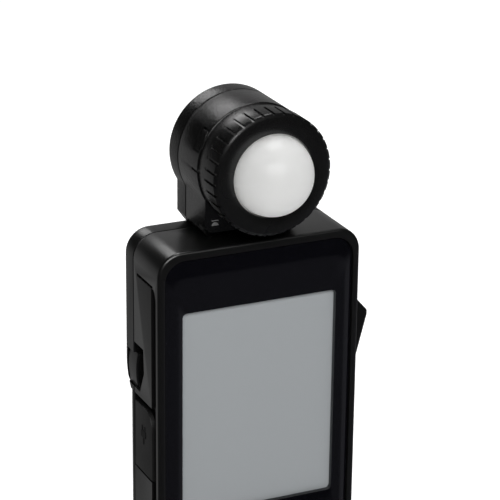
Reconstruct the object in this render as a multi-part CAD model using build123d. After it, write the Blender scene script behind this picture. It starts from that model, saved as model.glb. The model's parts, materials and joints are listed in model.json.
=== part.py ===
from build123d import *
import math
import os

# Handheld light meter, millimetres. +Z up, +X to the right seen from the front, +Y to the back.
# The origin is the mouth of the tripod socket in the bottom face.

# ---- body shell
BODY_W = 57.0             # across the body
BODY_H = 104.3            # bottom face to top face
SOCKET_SETBACK = 9.0      # tripod socket's axis behind the front face
CORNER_R = 6.5            # outline corners
WALL = 2.2                # side, top and bottom walls
FRONT_EDGE_R = 0.85       # rounding of the front rim
BACK_EDGE_R = 1.6         # rounding of the back
REAR_T = 6.4              # depth of the rear cover
BACK_WALL = 1.4           # back walls of both covers
SPLIT_DROP = 43.6         # top face down to the line between the two back covers
LOWER_STEP = 2.5          # battery cover's back lies this far in from the rear cover's
BLEND_R = 14.0            # radius that brings the rear cover's back down to the battery cover's
LOWER_EDGE_R = 3.0        # rounding along the battery cover's long edges
SEAM_BEVEL = 0.3          # bevel along the parting lines
SLIP = 0.2                # gap beside a piece that slides or lifts off
LOOSE = 0.05              # gap round a fixed insert or a screw's shank

# ---- front panel and what lies behind it
PANEL_SIDE = 2.0          # body side to the panel's edge
PANEL_TOP = 2.4           # body top to the panel's edge, and the same at the bottom
PANEL_R = 5.5             # panel's corners
PANEL_T = 1.4             # panel's thickness
TAPE_T = 0.2              # adhesive frame under the panel
TAPE_W = 1.6              # width of the adhesive frame
SHELF_T = 1.2             # ledge of the case that carries the tape
PANEL_GAP = 0.12          # round the panel's edge
VIEW_W = 43.5             # visible display
VIEW_H = 58.0
VIEW_DROP = 16.7          # body top to the visible display
FILM_T = 0.3              # touch film
LCD_T = 2.2
LCD_MARGIN = 1.1          # display module beyond its visible area
LIGHT_T = 1.1             # backlight
BOARD_T = 1.2
BOARD_GAP = 0.2           # backlight to main board
BOARD_INSET = 6.5         # main board's edges inside the body's sides
BOARD_BOTTOM = 11.0       # bottom face to the board's lower edge
BOARD_TOP_GAP = 4.0       # board's upper edge below the body top

# ---- front buttons
BUTTON_Z = 15.0           # centre line above the bottom face
BUTTON_PITCH = 14.5
BUTTON_W = 9.6
BUTTON_H = 5.0
POWER_R = 3.4
BUTTON_PROUD = 0.45       # cap in front of the panel
BUTTON_TRAVEL = 0.6
BUTTON_GAP = 0.25
FLANGE_W = 0.7            # retaining flange round a cap
FLANGE_T = 0.7
MAT_T = 0.6

# ---- measuring button, right side
KEY_DROP = 20.4           # body top to the button's upper end
KEY_L = 26.8              # its length
KEY_PEAK = 5.8            # upper end down to the crest
KEY_PROUD = 5.3           # crest beyond the side wall
KEY_FRONT = 4.6           # front face to the button's front side
KEY_D = 10.2              # its width, front to back
KEY_R = 0.8
KEY_TRAVEL = 1.0
KEY_GAP = 0.3
KEY_FLANGE_T = 1.4
KEY_FLANGE_LIP = 1.0      # flange beyond the key's ends
SWITCH_GAP = 0.2          # pressed key to the switch's plunger
PLUNGER_L = 0.5
PLUNGER_R = 0.8
SWITCH_D = 5.0
SWITCH_L = 8.0
SWITCH_H = 3.4
PAD_PROUD = 0.5           # raised pad above the measuring button
PAD_DROP = 10.0
PAD_L = 9.8

# ---- left side
CHANNEL_FRONT = 1.7       # front face to the channel's front edge
CHANNEL_W = 3.0
CHANNEL_DEEP = 0.9
CHANNEL_DROP = 10.2       # body top to the groove over the grip panel
GROOVE_W = 0.8
EYELET_FRONT = 9.8        # front face to the strap opening's middle
EYELET_TOP_BACK = 0.4     # its upper corner behind the middle
EYELET_FOOT_BACK = 2.8    # its lower corner behind the middle
EYELET_WAIST = 6.7        # its roof down to the middle
EYELET_LINTEL = 3.2       # rear cover below the opening's roof
EYELET_IN = 8.5           # strap opening, side wall inwards
EYELET_DROP = 29.3        # body top to the strap opening
EYELET_FLOOR = 1.4        # cover left below the strap opening
POCKET_WALL = 1.2
BAR_T = 2.2               # strap bar at its ends
BAR_FRONT = 15.0          # front face to the bar's front
BAR_W = 6.0
BAR_IN = 0.6              # bar's ends inside the side face
BAR_BOW = 0.5             # its middle bows out by this much
FLAP_FRONT = 4.6          # front face to the terminal flap
FLAP_D = 11.4
FLAP_DROP = 45.7          # body top to the flap
FLAP_L = 19.1
FLAP_T = 1.3
FLAP_R = 4.4              # its upper front corner
NAIL_DEEP = 1.8           # thumb-nail cut above the flap
NAIL_FLOOR = 1.0          # wall left behind it
USB_L = 7.8
USB_D = 3.9
USB_DEEP = 9.0
USB_SHELL = 0.4
SYNC_R = 3.0              # flash terminal
SYNC_BACK = 10.0          # front face to its axis
SYNC_BORE_R = 1.5
SYNC_Z = 20.0
SYNC_L = 8.0
SYNC_PROUD = 0.3
SYNC_FLANGE = 1.2

# ---- tripod socket: 1/4 inch, 20 threads to the inch
SOCKET_R = 3.175
SOCKET_L = 7.0
INSERT_R = 5.0
INSERT_L = 8.2
BOSS_WALL = 1.5

# ---- batteries, two AAA cells
CELL_R = 5.25
CELL_L = 44.5
CELL_NIB_R = 1.9
CELL_NIB_L = 0.8
CELL_GAP = 0.35
TRAY_WALL = 1.2
TRAY_FLOOR = 0.7
TRAY_STAND = 1.2          # main board to the battery tray
SPRING_L = 3.0
SPRING_WIRE = 0.35
SPRING_R = 2.6
SPRING_TURNS = 3
PLATE_T = 0.3

# ---- fasteners
SCREW_R = 1.0
SCREW_HEAD_R = 1.8
SCREW_HEAD_L = 1.3
SCREW_SINK = 0.7          # heads below the back face
SCREW_L = 12.0
TAB_SCREW_L = 7.0
SCREW_INSET = 4.2         # side of the body to an upper screw's axis
SCREW_DROP = 8.2          # body top down to the upper screws
TAB_INSET = 6.0           # side of the body to a lower screw's axis
TAB_DROPS = (3.8, 8.8)    # lower screws below the split line, left and right
TAB_T = 1.6               # tabs of the rear cover under the battery cover
TAB_HALF = 2.8
TAB_SINK = 0.9            # depth of a lower screw's seat in its tab
POST_R = 2.4
BOARD_SCREW_R = 0.8
BOARD_SCREW_L = 3.0
HEAD_SCREW_L = 9.0

# ---- head
HEAD_RISE = 19.6          # body top to the head's axis
HEAD_R = 16.0
HEAD_WALL = 1.6
HEAD_EDGE_R = 1.0
CAP_R = 16.0              # rear cap
COLLAR_FRONT = 0.3        # front face back to the collar
COLLAR_BACK = 4.2
COLLAR_R = 15.7
NECK_W = 27.6
NECK_FOOT_W = 23.0
NECK_LIP = 2.3            # body top to the underside of the neck's front
NECK_FRONT = 4.6          # front face to the neck's front
NECK_FOOT_SETBACK = 3.4
NECK_CORNER_R = 1.8       # lower corners of its front face
NECK_CUT = 3.2            # height of the slanted lower corners
WAY_LOW = 1.2             # body top to the cable way through the neck
WAY_HIGH = 4.4
WAY_WALL = 1.2
HEAD_SCREW_RISE = 4.7     # body top to the head screws
HEAD_LIP_R = 0.4          # rounding of the housing's front edge
TONGUE_W = 18.0
TONGUE_FRONT = 8.2
TONGUE_D = 6.4
TONGUE_L = 4.0
NOTCH_TURN = 62.5         # accessory recess, degrees from the top towards the left
NOTCH_W = 6.6             # along the circumference
NOTCH_L = 4.0
NOTCH_BACK = 0.5          # behind the collar's seam
NOTCH_DEEP = 0.9
STRIP_W = 5.6             # ribbed insert in the recess
STRIP_L = 2.6
STRIP_T = 0.35
STRIP_RIB = 0.4
MARK_TURN = 91.0          # small index groove, degrees from the top towards the left
MARK_W = 0.7
MARK_DEEP = 0.35
MARK_START = 3.4          # front face to the groove's ends
MARK_END = 7.8

# ---- retraction ring and dome
RING_BACK = 0.2           # front face back to the ring's rear face
RING_SIDE = 6.1           # length of the knurled side
RING_R = 16.15
RING_NOSE = 0.9           # bevel's length
RING_BEVEL = 0.9          # bevel's height
RING_PLATE = 1.7
RING_MOUTH_GAP = 0.3      # ring's mouth round the dome
KNURLS = 35
KNURL_W = 0.55
KNURL_DEEP = 0.5
RING_TURN = 60.0          # degrees from dome out to dome in
DOME_R = 10.6
DOME_T = 1.2
DOME_LEAD = 1.14          # sphere's centre behind the ring's face
DOME_TRAVEL = 9.5
DOME_SKIRT = 2.2
DOME_LIP = 0.8            # flange beyond the sphere
DOME_FLANGE_T = 0.9
TUBE_ROOM = 0.9           # dome's flange to the inside of the cam tube
TUBE_T = 1.3
TUBE_BACK = 14.2
RUN_GAP = 0.3             # between turning and sliding sleeves
CARRIER_BACK = 4.0
CARRIER_BORE_R = 8.4
PIN_R = 0.7
PIN_Y = 0.8
PIN_TIP = 0.65            # pin's reach into the cam tube's wall
PIN_COUNT = 3
SLOT_GAP = 0.25
SLOT_STEPS = 22
CLIP_Y = 5.0
CLIP_T = 0.8
CLIP_REACH = 0.8          # clip beyond the cam tube
CLIP_SEAT = 0.55          # groove's depth in the cam tube
BARREL_R = 8.0
BARREL_BORE_R = 6.6
BARREL_FRONT = 1.0
BARREL_RIM = 15.2
BARREL_RIM_T = 1.2
KEY_RIB_W = 2.0
KEY_RIB_H = 0.8
FILTER_T = 1.0
FILTER_SEAT = 0.7
SENSOR_T = 1.0
DIODE_W = 7.0
DIODE_T = 1.5
FLEX_W = 8.0
FLEX_T = 0.25
BALL_R = 0.6
BALL_TRACK_R = 14.85
BALL_PROUD = 0.3

# ---- places worked out from the sizes
FRONT = -SOCKET_SETBACK
SIDE = BODY_W / 2
BOARD_W = BODY_W - 2 * BOARD_INSET
INSIDE = SIDE - WALL
SPLIT_Z = BODY_H - SPLIT_DROP
HEAD_Z = BODY_H + HEAD_RISE
PANEL_SEAT = FRONT + PANEL_T + TAPE_T
SHELF_BACK = PANEL_SEAT + SHELF_T
VIEW_Z = BODY_H - VIEW_DROP - VIEW_H / 2
LCD_W = VIEW_W + 2 * LCD_MARGIN
LCD_H = VIEW_H + 2 * LCD_MARGIN + 2.0
FILM_Y = FRONT + PANEL_T
LCD_Y = FILM_Y + FILM_T
LIGHT_Y = LCD_Y + LCD_T
BOARD_Y = LIGHT_Y + LIGHT_T + BOARD_GAP
BOARD_BACK = BOARD_Y + BOARD_T
BOARD_H = BODY_H - BOARD_TOP_GAP - BOARD_BOTTOM
TRAY_Y = BOARD_BACK + TRAY_STAND
CELL_Y = TRAY_Y + TRAY_FLOOR + CELL_R
LOWER_BACK = CELL_Y + CELL_R + CELL_GAP + BACK_WALL
BACK = LOWER_BACK + LOWER_STEP
SEAM = BACK - REAR_T
TRAY_BOTTOM = INSERT_L + BOSS_WALL + 0.3
CELL_BOTTOM = TRAY_BOTTOM + TRAY_WALL + PLATE_T + SPRING_L
CELL_TOP = CELL_BOTTOM + CELL_L + CELL_NIB_L
TRAY_TOP = CELL_TOP + PLATE_T + TRAY_WALL
TRAY_HALF = 2 * CELL_R + 1.5 * CELL_GAP + TRAY_WALL
RING_MOUTH_R = DOME_R + RING_MOUTH_GAP
DOME_FLANGE_R = DOME_R + DOME_LIP
TUBE_R = DOME_FLANGE_R + TUBE_ROOM + TUBE_T
RING_FACE = FRONT + RING_BACK - RING_SIDE - RING_NOSE
PLATE_BACK = RING_FACE + RING_PLATE
DOME_Y = RING_FACE + DOME_LEAD
SCREW_SEAT = BACK - SCREW_SINK - SCREW_HEAD_L
TAB_SEAT = SEAM + TAB_T - TAB_SINK
BAR_INNER = -SIDE + BAR_IN + BAR_T + LOOSE
BUTTONS = {"menu_button": -BUTTON_PITCH, "power_button": 0.0, "memory_button": BUTTON_PITCH}


# ---- helpers
def block(x, y, z):
    """A box between pairs of X, Y and Z places."""
    middle = ((x[0] + x[1]) / 2, (y[0] + y[1]) / 2, (z[0] + z[1]) / 2)
    return Pos(*middle) * Box(x[1] - x[0], y[1] - y[0], z[1] - z[0])


def slab(outline, y_front, y_back):
    """An outline drawn in X and Z, as a slab between two depths."""
    return extrude(Plane.XZ.offset(-y_back) * outline, amount=y_back - y_front)


def rod_y(radius, y_front, y_back, x=0.0, z=0.0):
    """A round bar along Y."""
    return slab(Pos(x, z) * Circle(radius), y_front, y_back)


def rod_x(radius, x_left, x_right, y, z):
    """A round bar along X."""
    return extrude(Plane.YZ.offset(x_left) * Pos(y, z) * Circle(radius), amount=x_right - x_left)


def side_plate(outline, x_left, x_right):
    """An outline drawn in Y and Z, as a plate between two X places."""
    return extrude(Plane.YZ.offset(x_left) * outline, amount=x_right - x_left)


def turned(points):
    """A solid of revolution about the head's axis, from points of radius and depth."""
    profile = make_face(Polyline(*points, close=True))
    return Pos(0, 0, HEAD_Z) * revolve(profile, Axis.Y)


def sleeve(outer, inner, y_front, y_back):
    """A plain tube on the head's axis."""
    return turned([(inner, y_front), (outer, y_front), (outer, y_back), (inner, y_back)])


def round_outline(width, height, radius, x=0.0, z=0.0):
    return Pos(x, z) * RectangleRounded(width, height, radius)


def body_outline(inset=0.0):
    return round_outline(BODY_W - 2 * inset, BODY_H - 2 * inset, CORNER_R - inset, 0, BODY_H / 2)


def panel_outline(grow=0.0):
    width = BODY_W - 2 * PANEL_SIDE + 2 * grow
    height = BODY_H - 2 * PANEL_TOP + 2 * grow
    return round_outline(width, height, PANEL_R + grow, 0, BODY_H / 2)


def display_outline(grow=0.0):
    return round_outline(LCD_W + 2 * grow, LCD_H + 2 * grow, 1.0, 0, VIEW_Z)


def button_outline(name, grow=0.0):
    if name == "power_button":
        return Pos(0, BUTTON_Z) * Circle(POWER_R + grow)
    height = BUTTON_H + 2 * grow
    return round_outline(BUTTON_W + 2 * grow, height, height / 2 - 0.05, BUTTONS[name], BUTTON_Z)


def edges_at(shape, axis, place):
    """The edges that lie whole in one plane across an axis."""
    return shape.edges().filter_by_position(axis, place - 0.001, place + 0.001)


def screw_places():
    """The rear cover's two upper screws."""
    across = SIDE - SCREW_INSET
    return [(x, BODY_H - SCREW_DROP) for x in (-across, across)]


def tab_places():
    """The rear cover's two lower screws, hidden by the battery cover."""
    across = SIDE - TAB_INSET
    return [(x, SPLIT_Z - drop) for x, drop in zip((-across, across), TAB_DROPS)]


def board_screw_places():
    across = BOARD_W / 2 - 3.0
    return [(x, z) for z in (BOARD_BOTTOM + 11.5, BODY_H - BOARD_TOP_GAP - 2.6) for x in (-across, across)]


def head_screw_places():
    across = NECK_FOOT_W / 2 - 2.6
    return [(x, BODY_H + HEAD_SCREW_RISE) for x in (-across, across)]


def screw_y(shank, head_r, head_l, length, seat, x, z):
    """A screw that points forward from its seat, with a cross recess in its head."""
    body = rod_y(head_r, seat, seat + head_l, x, z) + rod_y(shank, seat - length, seat, x, z)
    top = seat + head_l
    slot = head_r * 0.55
    for half_w, half_h in ((slot, 0.2), (0.2, slot)):
        body -= block((x - half_w, x + half_w), (top - head_l / 2, top), (z - half_h, z + half_h))
    return body


def coil(radius, wire, length, turns):
    """A wire spring along Z, from z = 0 up."""
    rise = length - 2 * wire
    path = Helix(pitch=rise / turns, height=rise, radius=radius)
    section = Plane(origin=path @ 0, z_dir=path % 0) * Circle(wire)
    return Pos(0, 0, wire) * sweep(section, path=path)


def eyelet_outline():
    """Strap opening in the side, in Y and Z: level roof, bent front edge and level floor."""
    roof = BODY_H - EYELET_DROP
    floor = SPLIT_Z + EYELET_FLOOR
    front = FRONT + EYELET_FRONT
    back = FRONT + BAR_FRONT + BAR_W + LOOSE
    return make_face(Polyline((back, floor), (back, roof), (front + EYELET_TOP_BACK, roof),
                              (front, roof - EYELET_WAIST), (front + EYELET_FOOT_BACK, floor), close=True))


def eyelet_pocket():
    """The space the strap passes through: in at the side, round the bar and out at the back."""
    x_in = -SIDE + EYELET_IN
    roof = BODY_H - EYELET_DROP
    side = side_plate(eyelet_outline(), -SIDE - 1, x_in)
    side -= block((-SIDE - 2, SIDE), (SEAM, BACK), (roof - EYELET_LINTEL, roof + 1))
    rear = block((BAR_INNER, x_in), (SEAM - 1, BACK + 1), (SPLIT_Z + EYELET_FLOOR, roof - EYELET_LINTEL))
    return side + rear


# ---- body shell
def left_side_relief():
    """Channel behind the front edge, the groove over the grip panel and the thumb-nail cut."""
    y0 = FRONT + CHANNEL_FRONT
    y1 = y0 + CHANNEL_W
    top = BODY_H - CHANNEL_DROP
    corner = Pos(y1 + 1.0, top - 3.0) * Circle(4.0)
    upright = Pos((y0 + y1) / 2, top / 2) * Rectangle(CHANNEL_W, top)
    clipped = upright - Pos(y0, top) * Rectangle(2 * CHANNEL_W, 6.0) + (
        corner & Pos((y0 + y1) / 2, top - 1.5) * Rectangle(CHANNEL_W, 3.2))
    cut = side_plate(clipped, -SIDE - 1, -SIDE + CHANNEL_DEEP)
    cut += block((-SIDE - 1, -SIDE + CHANNEL_DEEP), (y1 - 1, SEAM - 2.5), (top, top + GROOVE_W))
    return cut + nail_cut(-SIDE - 1, -SIDE + NAIL_DEEP)


def nail_cut(x_left, x_right):
    """Cut above the terminal flap that lets a thumb-nail under it."""
    y = (FRONT + FLAP_FRONT - SLIP, FRONT + FLAP_FRONT + FLAP_D + SLIP)
    above = block((x_left, x_right), y, (BODY_H - FLAP_DROP, SPLIT_Z - LOOSE))
    corner = block((x_left, x_right), (y[0], y[0] + FLAP_R), (BODY_H - FLAP_DROP - FLAP_R, SPLIT_Z - LOOSE))
    return above + corner


def key_outline(grow=0.0):
    """Opening of the measuring button in Y and Z."""
    z = BODY_H - KEY_DROP - KEY_L / 2
    return round_outline(KEY_D + 2 * grow, KEY_L + 2 * grow, KEY_R + grow, FRONT + KEY_FRONT + KEY_D / 2, z)


def flap_outline(grow=0.0):
    """Terminal flap in Y and Z: large upper front corner, small other corners."""
    y0 = FRONT + FLAP_FRONT - grow
    y1 = FRONT + FLAP_FRONT + FLAP_D + grow
    z1 = BODY_H - FLAP_DROP + grow
    z0 = BODY_H - FLAP_DROP - FLAP_L - grow
    plate = make_face(Polyline((y0, z0), (y1, z0), (y1, z1), (y0, z1), close=True))
    corner = plate.vertices().sort_by(Axis.Y)[-2:].sort_by(Axis.X)[0]
    plate = fillet(corner, FLAP_R + grow)
    return plate


def usb_y():
    return BOARD_BACK + USB_D / 2


def usb_z():
    return BODY_H - FLAP_DROP - FLAP_L / 2


def front_case():
    shell = slab(body_outline(), FRONT, SEAM)
    shell = fillet(edges_at(shell, Axis.Y, FRONT), FRONT_EDGE_R)
    shell = chamfer(edges_at(shell, Axis.Y, SEAM), SEAM_BEVEL)
    hollow = slab(body_outline(WALL), SHELF_BACK, SEAM + 1)
    shell -= hollow
    shell -= slab(panel_outline(PANEL_GAP), FRONT - 1, PANEL_SEAT)
    shell -= slab(display_outline(SLIP), PANEL_SEAT - 1, SHELF_BACK + 1)
    for name in BUTTONS:
        shell -= slab(button_outline(name, FLANGE_W + BUTTON_GAP), PANEL_SEAT - 1, SHELF_BACK + 1)
    pocket_wall = block((-INSIDE - 0.5, -SIDE + EYELET_IN + POCKET_WALL),
                        (FRONT + EYELET_FRONT - POCKET_WALL, SEAM),
                        (SPLIT_Z - POCKET_WALL + EYELET_FLOOR, BODY_H - EYELET_DROP + POCKET_WALL))
    nail_wall = block((-INSIDE - 0.5, -SIDE + NAIL_DEEP + NAIL_FLOOR), (PANEL_SEAT, SEAM),
                      (BODY_H - FLAP_DROP - FLAP_R - NAIL_FLOOR, SPLIT_Z))
    nail_wall -= block((-SIDE, 0), (BOARD_BACK - LOOSE, SEAM), (usb_z(), usb_z() + USB_L / 2 + SLIP))
    shell += pocket_wall + nail_wall
    shell -= eyelet_pocket()
    for x, z in screw_places() + tab_places():
        wall_x = math.copysign(SIDE - 0.5, x)
        post = rod_y(POST_R, BOARD_BACK + 0.4, SEAM, x, z)
        post += block(sorted((x, wall_x)), (BOARD_BACK + 0.4, SEAM), (z - POST_R * 0.6, z + POST_R * 0.6))
        shell += post & slab(body_outline(0.5), FRONT, SEAM)
    for x, z in board_screw_places():
        shell += rod_y(BOARD_SCREW_R + 1.0, PANEL_SEAT, BOARD_Y, x, z)
        shell -= rod_y(BOARD_SCREW_R + LOOSE, BOARD_BACK - BOARD_SCREW_L - 0.3, BOARD_Y + 1, x, z)
    boss = Cylinder(INSERT_R + BOSS_WALL, INSERT_L + BOSS_WALL, align=(Align.CENTER, Align.CENTER, Align.MIN))
    shell += boss
    shell -= Cylinder(INSERT_R + LOOSE, INSERT_L, align=(Align.CENTER, Align.CENTER, Align.MIN))
    for x, z in screw_places():
        shell -= rod_y(SCREW_R + LOOSE, SCREW_SEAT - SCREW_L - 0.4, SEAM + 1, x, z)
    for x, z in tab_places():
        shell -= rod_y(SCREW_R + LOOSE, TAB_SEAT - TAB_SCREW_L - 0.4, SEAM + 1, x, z)
    shell -= left_side_relief()
    shell -= side_plate(flap_outline(SLIP), -SIDE - 1, -SIDE + FLAP_T + SLIP)
    mouth = round_outline(USB_D + 0.4, USB_L + 0.4, 0.6, usb_y(), usb_z())
    shell -= side_plate(mouth, -SIDE, -INSIDE + 1)
    shell -= rod_x(SYNC_R + LOOSE, -SIDE - 1, -INSIDE + 1, FRONT + SYNC_BACK, SYNC_Z)
    shell -= side_plate(key_outline(KEY_GAP), INSIDE - 1, SIDE + 2)
    pad = round_outline(KEY_D, PAD_L, 1.5, FRONT + KEY_FRONT + KEY_D / 2, BODY_H - PAD_DROP - PAD_L / 2)
    shell += side_plate(pad, SIDE - 0.4, SIDE + PAD_PROUD)
    shell -= block((-TONGUE_W / 2 - LOOSE, TONGUE_W / 2 + LOOSE),
                   (FRONT + TONGUE_FRONT - LOOSE, FRONT + TONGUE_FRONT + TONGUE_D + LOOSE),
                   (BODY_H - WALL - 1, BODY_H + 1))
    return shell


def front_panel():
    panel = slab(panel_outline(), FRONT, FRONT + PANEL_T)
    panel = fillet(edges_at(panel, Axis.Y, FRONT), 0.35)
    for name in BUTTONS:
        panel -= slab(button_outline(name, BUTTON_GAP), FRONT - 1, PANEL_SEAT)
    return panel


def panel_tape():
    frame = panel_outline(-0.2) - panel_outline(-0.2 - TAPE_W)
    return slab(frame, FRONT + PANEL_T, PANEL_SEAT)


def touch_film():
    return slab(display_outline(-0.3), FILM_Y, LCD_Y)


def lcd_module():
    return slab(display_outline(), LCD_Y, LIGHT_Y)


def display_backlight():
    plate = slab(display_outline(-0.8), LIGHT_Y, LIGHT_Y + LIGHT_T)
    return fillet(edges_at(plate, Axis.Y, LIGHT_Y + LIGHT_T), 0.3)


def main_board():
    z0 = BOARD_BOTTOM
    board = round_outline(BOARD_W, BOARD_H, 2.0, 0, z0 + BOARD_H / 2)
    plate = slab(board, BOARD_Y, BOARD_BACK)
    for x, z in board_screw_places():
        plate -= rod_y(BOARD_SCREW_R + LOOSE, BOARD_Y - 1, BOARD_BACK + 1, x, z)
    plate += block((-7, 7), (BOARD_BACK, BOARD_BACK + 0.9), (BODY_H - 30, BODY_H - 18))
    return plate


def board_screws():
    return [screw_y(BOARD_SCREW_R, 1.5, 0.9, BOARD_SCREW_L, BOARD_BACK, x, z) for x, z in board_screw_places()]


def button_mat():
    """Silicone sheet with a raised key under each button, lying on the main board."""
    key_front = FRONT - BUTTON_PROUD + button_depth() + BUTTON_TRAVEL + 0.1
    sheet = round_outline(2 * BUTTON_PITCH + BUTTON_W, BUTTON_H + 2.0, 1.0, 0, BUTTON_Z)
    mat = slab(sheet, BOARD_Y - MAT_T, BOARD_Y)
    for x in BUTTONS.values():
        mat += rod_y(1.6, key_front, BOARD_Y - MAT_T, x, BUTTON_Z)
    return mat


def button_depth():
    """Front of a cap to the back of its flange."""
    return BUTTON_PROUD + PANEL_T + TAPE_T + 0.1 + FLANGE_T


def front_button(name):
    y0 = FRONT - BUTTON_PROUD
    cap = slab(button_outline(name), y0, y0 + button_depth())
    cap = fillet(edges_at(cap, Axis.Y, y0), 0.4)
    flange_y = PANEL_SEAT + 0.1
    return cap + slab(button_outline(name, FLANGE_W), flange_y, flange_y + FLANGE_T)


def measuring_button():
    """Wedge-shaped key for the thumb, with a flange that keeps it in the side wall."""
    top = BODY_H - KEY_DROP
    crest = top - KEY_PEAK
    bottom = top - KEY_L
    y0 = FRONT + KEY_FRONT
    wedge = make_face(Polyline((INSIDE - 0.2, top), (SIDE + 0.2, top), (SIDE + KEY_PROUD, crest),
                               (SIDE + KEY_PROUD, crest - 1.2), (SIDE + 0.2, bottom),
                               (INSIDE - 0.2, bottom), close=True))
    key = slab(wedge, y0, y0 + KEY_D)
    long_edges = key.edges().filter_by(lambda edge: edge.center().X > SIDE + 1)
    key = fillet(long_edges, 0.7) & side_plate(key_outline(), INSIDE - 1, SIDE + 2 * KEY_PROUD)
    y_flange = (y0, y0 + KEY_D + 0.4)
    x_flange = (INSIDE - KEY_GAP - KEY_FLANGE_T, INSIDE - KEY_GAP)
    key += block(x_flange, y_flange, (bottom - KEY_FLANGE_LIP, top + KEY_FLANGE_LIP))
    key += block((x_flange[1], INSIDE), (y0 + 0.4, y0 + KEY_D - 0.4), (bottom + 0.4, top - 0.4))
    return key


def switch_z():
    return BODY_H - KEY_DROP - KEY_PEAK - 2.5


def measuring_switch():
    """Side-acting switch on the main board, behind the measuring button; it also returns the button."""
    x1 = INSIDE - KEY_GAP - KEY_FLANGE_T - KEY_TRAVEL - SWITCH_GAP
    x0 = x1 - PLUNGER_L
    z = switch_z()
    case = block((x0 - SWITCH_D, x0), (BOARD_BACK, BOARD_BACK + SWITCH_H), (z - SWITCH_L / 2, z + SWITCH_L / 2))
    return case + rod_x(PLUNGER_R, x0, x1, BOARD_BACK + SWITCH_H / 2, z)


def usb_socket():
    """Mini USB shell with its contact tongue."""
    x0 = -INSIDE - 0.4
    x1 = x0 + USB_DEEP
    outline = round_outline(USB_D, USB_L, 0.5, usb_y(), usb_z())
    inner = round_outline(USB_D - 2 * USB_SHELL, USB_L - 2 * USB_SHELL, 0.3, usb_y(), usb_z())
    shell = side_plate(outline, x0, x1) - side_plate(inner, x0 - 1, x1 - 1.0)
    tongue = block((x0 + 1.5, x1 - 0.5), (usb_y() - 0.4, usb_y() + 0.4), (usb_z() - 2.0, usb_z() + 2.0))
    return shell + tongue


def usb_cover():
    """Rubber flap over the terminal; its lower edge is round about the line it bends on."""
    x0 = -SIDE
    x1 = x0 + FLAP_T
    plate = side_plate(flap_outline(), x0, x1)
    z0 = BODY_H - FLAP_DROP - FLAP_L
    y0 = FRONT + FLAP_FRONT
    half = FLAP_T / 2
    plate -= block((x0 - 1, x1 + 1), (y0 - 1, y0 + FLAP_D + 1), (z0 - 1, z0 + half))
    plate += rod_y(half, y0, y0 + FLAP_D, x0 + half, z0 + half)
    plug = round_outline(USB_D - 1.4, USB_L - 1.6, 0.5, usb_y(), usb_z())
    return plate + side_plate(plug, x1, x1 + 0.5)


def sync_terminal():
    """Coaxial flash terminal through the left wall."""
    y = FRONT + SYNC_BACK
    x0 = -SIDE - SYNC_PROUD
    barrel = rod_x(SYNC_R, x0, x0 + SYNC_L, y, SYNC_Z)
    barrel += rod_x(SYNC_R + SYNC_FLANGE, -INSIDE, -INSIDE + 1.0, y, SYNC_Z)
    barrel -= rod_x(SYNC_BORE_R, x0 - 1, x0 + SYNC_L - 2.0, y, SYNC_Z)
    return barrel + rod_x(0.5, x0 + 1.5, x0 + SYNC_L - 1.0, y, SYNC_Z)


def back_blend(inset=0.0):
    """What the curve at the rear cover's lower end takes off its back."""
    rise = math.sqrt(BLEND_R ** 2 - (BLEND_R - LOWER_STEP) ** 2)
    z = SPLIT_Z + rise
    wedge = block((-SIDE - 1, SIDE + 1), (LOWER_BACK - BLEND_R / 4, BACK + 1), (SPLIT_Z - 1, z))
    return wedge - rod_x(BLEND_R - inset, -SIDE - 2, SIDE + 2, BACK - BLEND_R, z)


def on_back_rim(edge):
    """True for the outer edges of the back, the curved lower stretch included."""
    middle = edge.center()
    ends = (edge @ 0, edge @ 1)
    level = all(end.Y > LOWER_BACK - 0.01 for end in ends)
    return level and (abs(middle.X) > INSIDE or middle.Z > BODY_H - WALL)


def rear_cover():
    shell = slab(body_outline(), SEAM, BACK) - back_blend()
    shell &= block((-SIDE - 1, SIDE + 1), (SEAM - 1, BACK + 1), (SPLIT_Z, BODY_H + 1))
    rim = [edge for edge in shell.edges() if on_back_rim(edge)]
    shell = fillet(rim, BACK_EDGE_R)
    shell = chamfer(edges_at(shell, Axis.Y, SEAM).filter_by(lambda edge: edge.center().Z > SPLIT_Z + 0.1), SEAM_BEVEL)
    inner = slab(body_outline(WALL), SEAM - 1, BACK - BACK_WALL)
    inner &= block((-SIDE, SIDE), (SEAM - 2, BACK), (SPLIT_Z + EYELET_FLOOR, BODY_H))
    shell -= inner - back_blend(BACK_WALL)
    shell += block((-INSIDE - 0.5, -SIDE + EYELET_IN + POCKET_WALL), (SEAM, BACK - BACK_WALL / 2),
                   (SPLIT_Z, BODY_H - EYELET_DROP + POCKET_WALL)) - back_blend(BACK_WALL / 2)
    shell -= eyelet_pocket()
    for x, z in screw_places():
        tower = rod_y(SCREW_HEAD_R + 1.0, SEAM, BACK - BACK_WALL / 2, x, z)
        shell += tower & slab(body_outline(0.5), SEAM, BACK)
        shell -= rod_y(SCREW_R + LOOSE, SEAM - 1, BACK, x, z)
        shell -= rod_y(SCREW_HEAD_R + SLIP, SCREW_SEAT, BACK + 1, x, z)
    for x, z in tab_places():
        shell += block((x - TAB_HALF, x + TAB_HALF), (SEAM, SEAM + TAB_T), (z - TAB_HALF, SPLIT_Z + 1))
        shell -= rod_y(SCREW_R + LOOSE, SEAM - 1, BACK, x, z)
        shell -= rod_y(SCREW_HEAD_R + SLIP, TAB_SEAT, BACK, x, z)
    return shell


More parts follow.
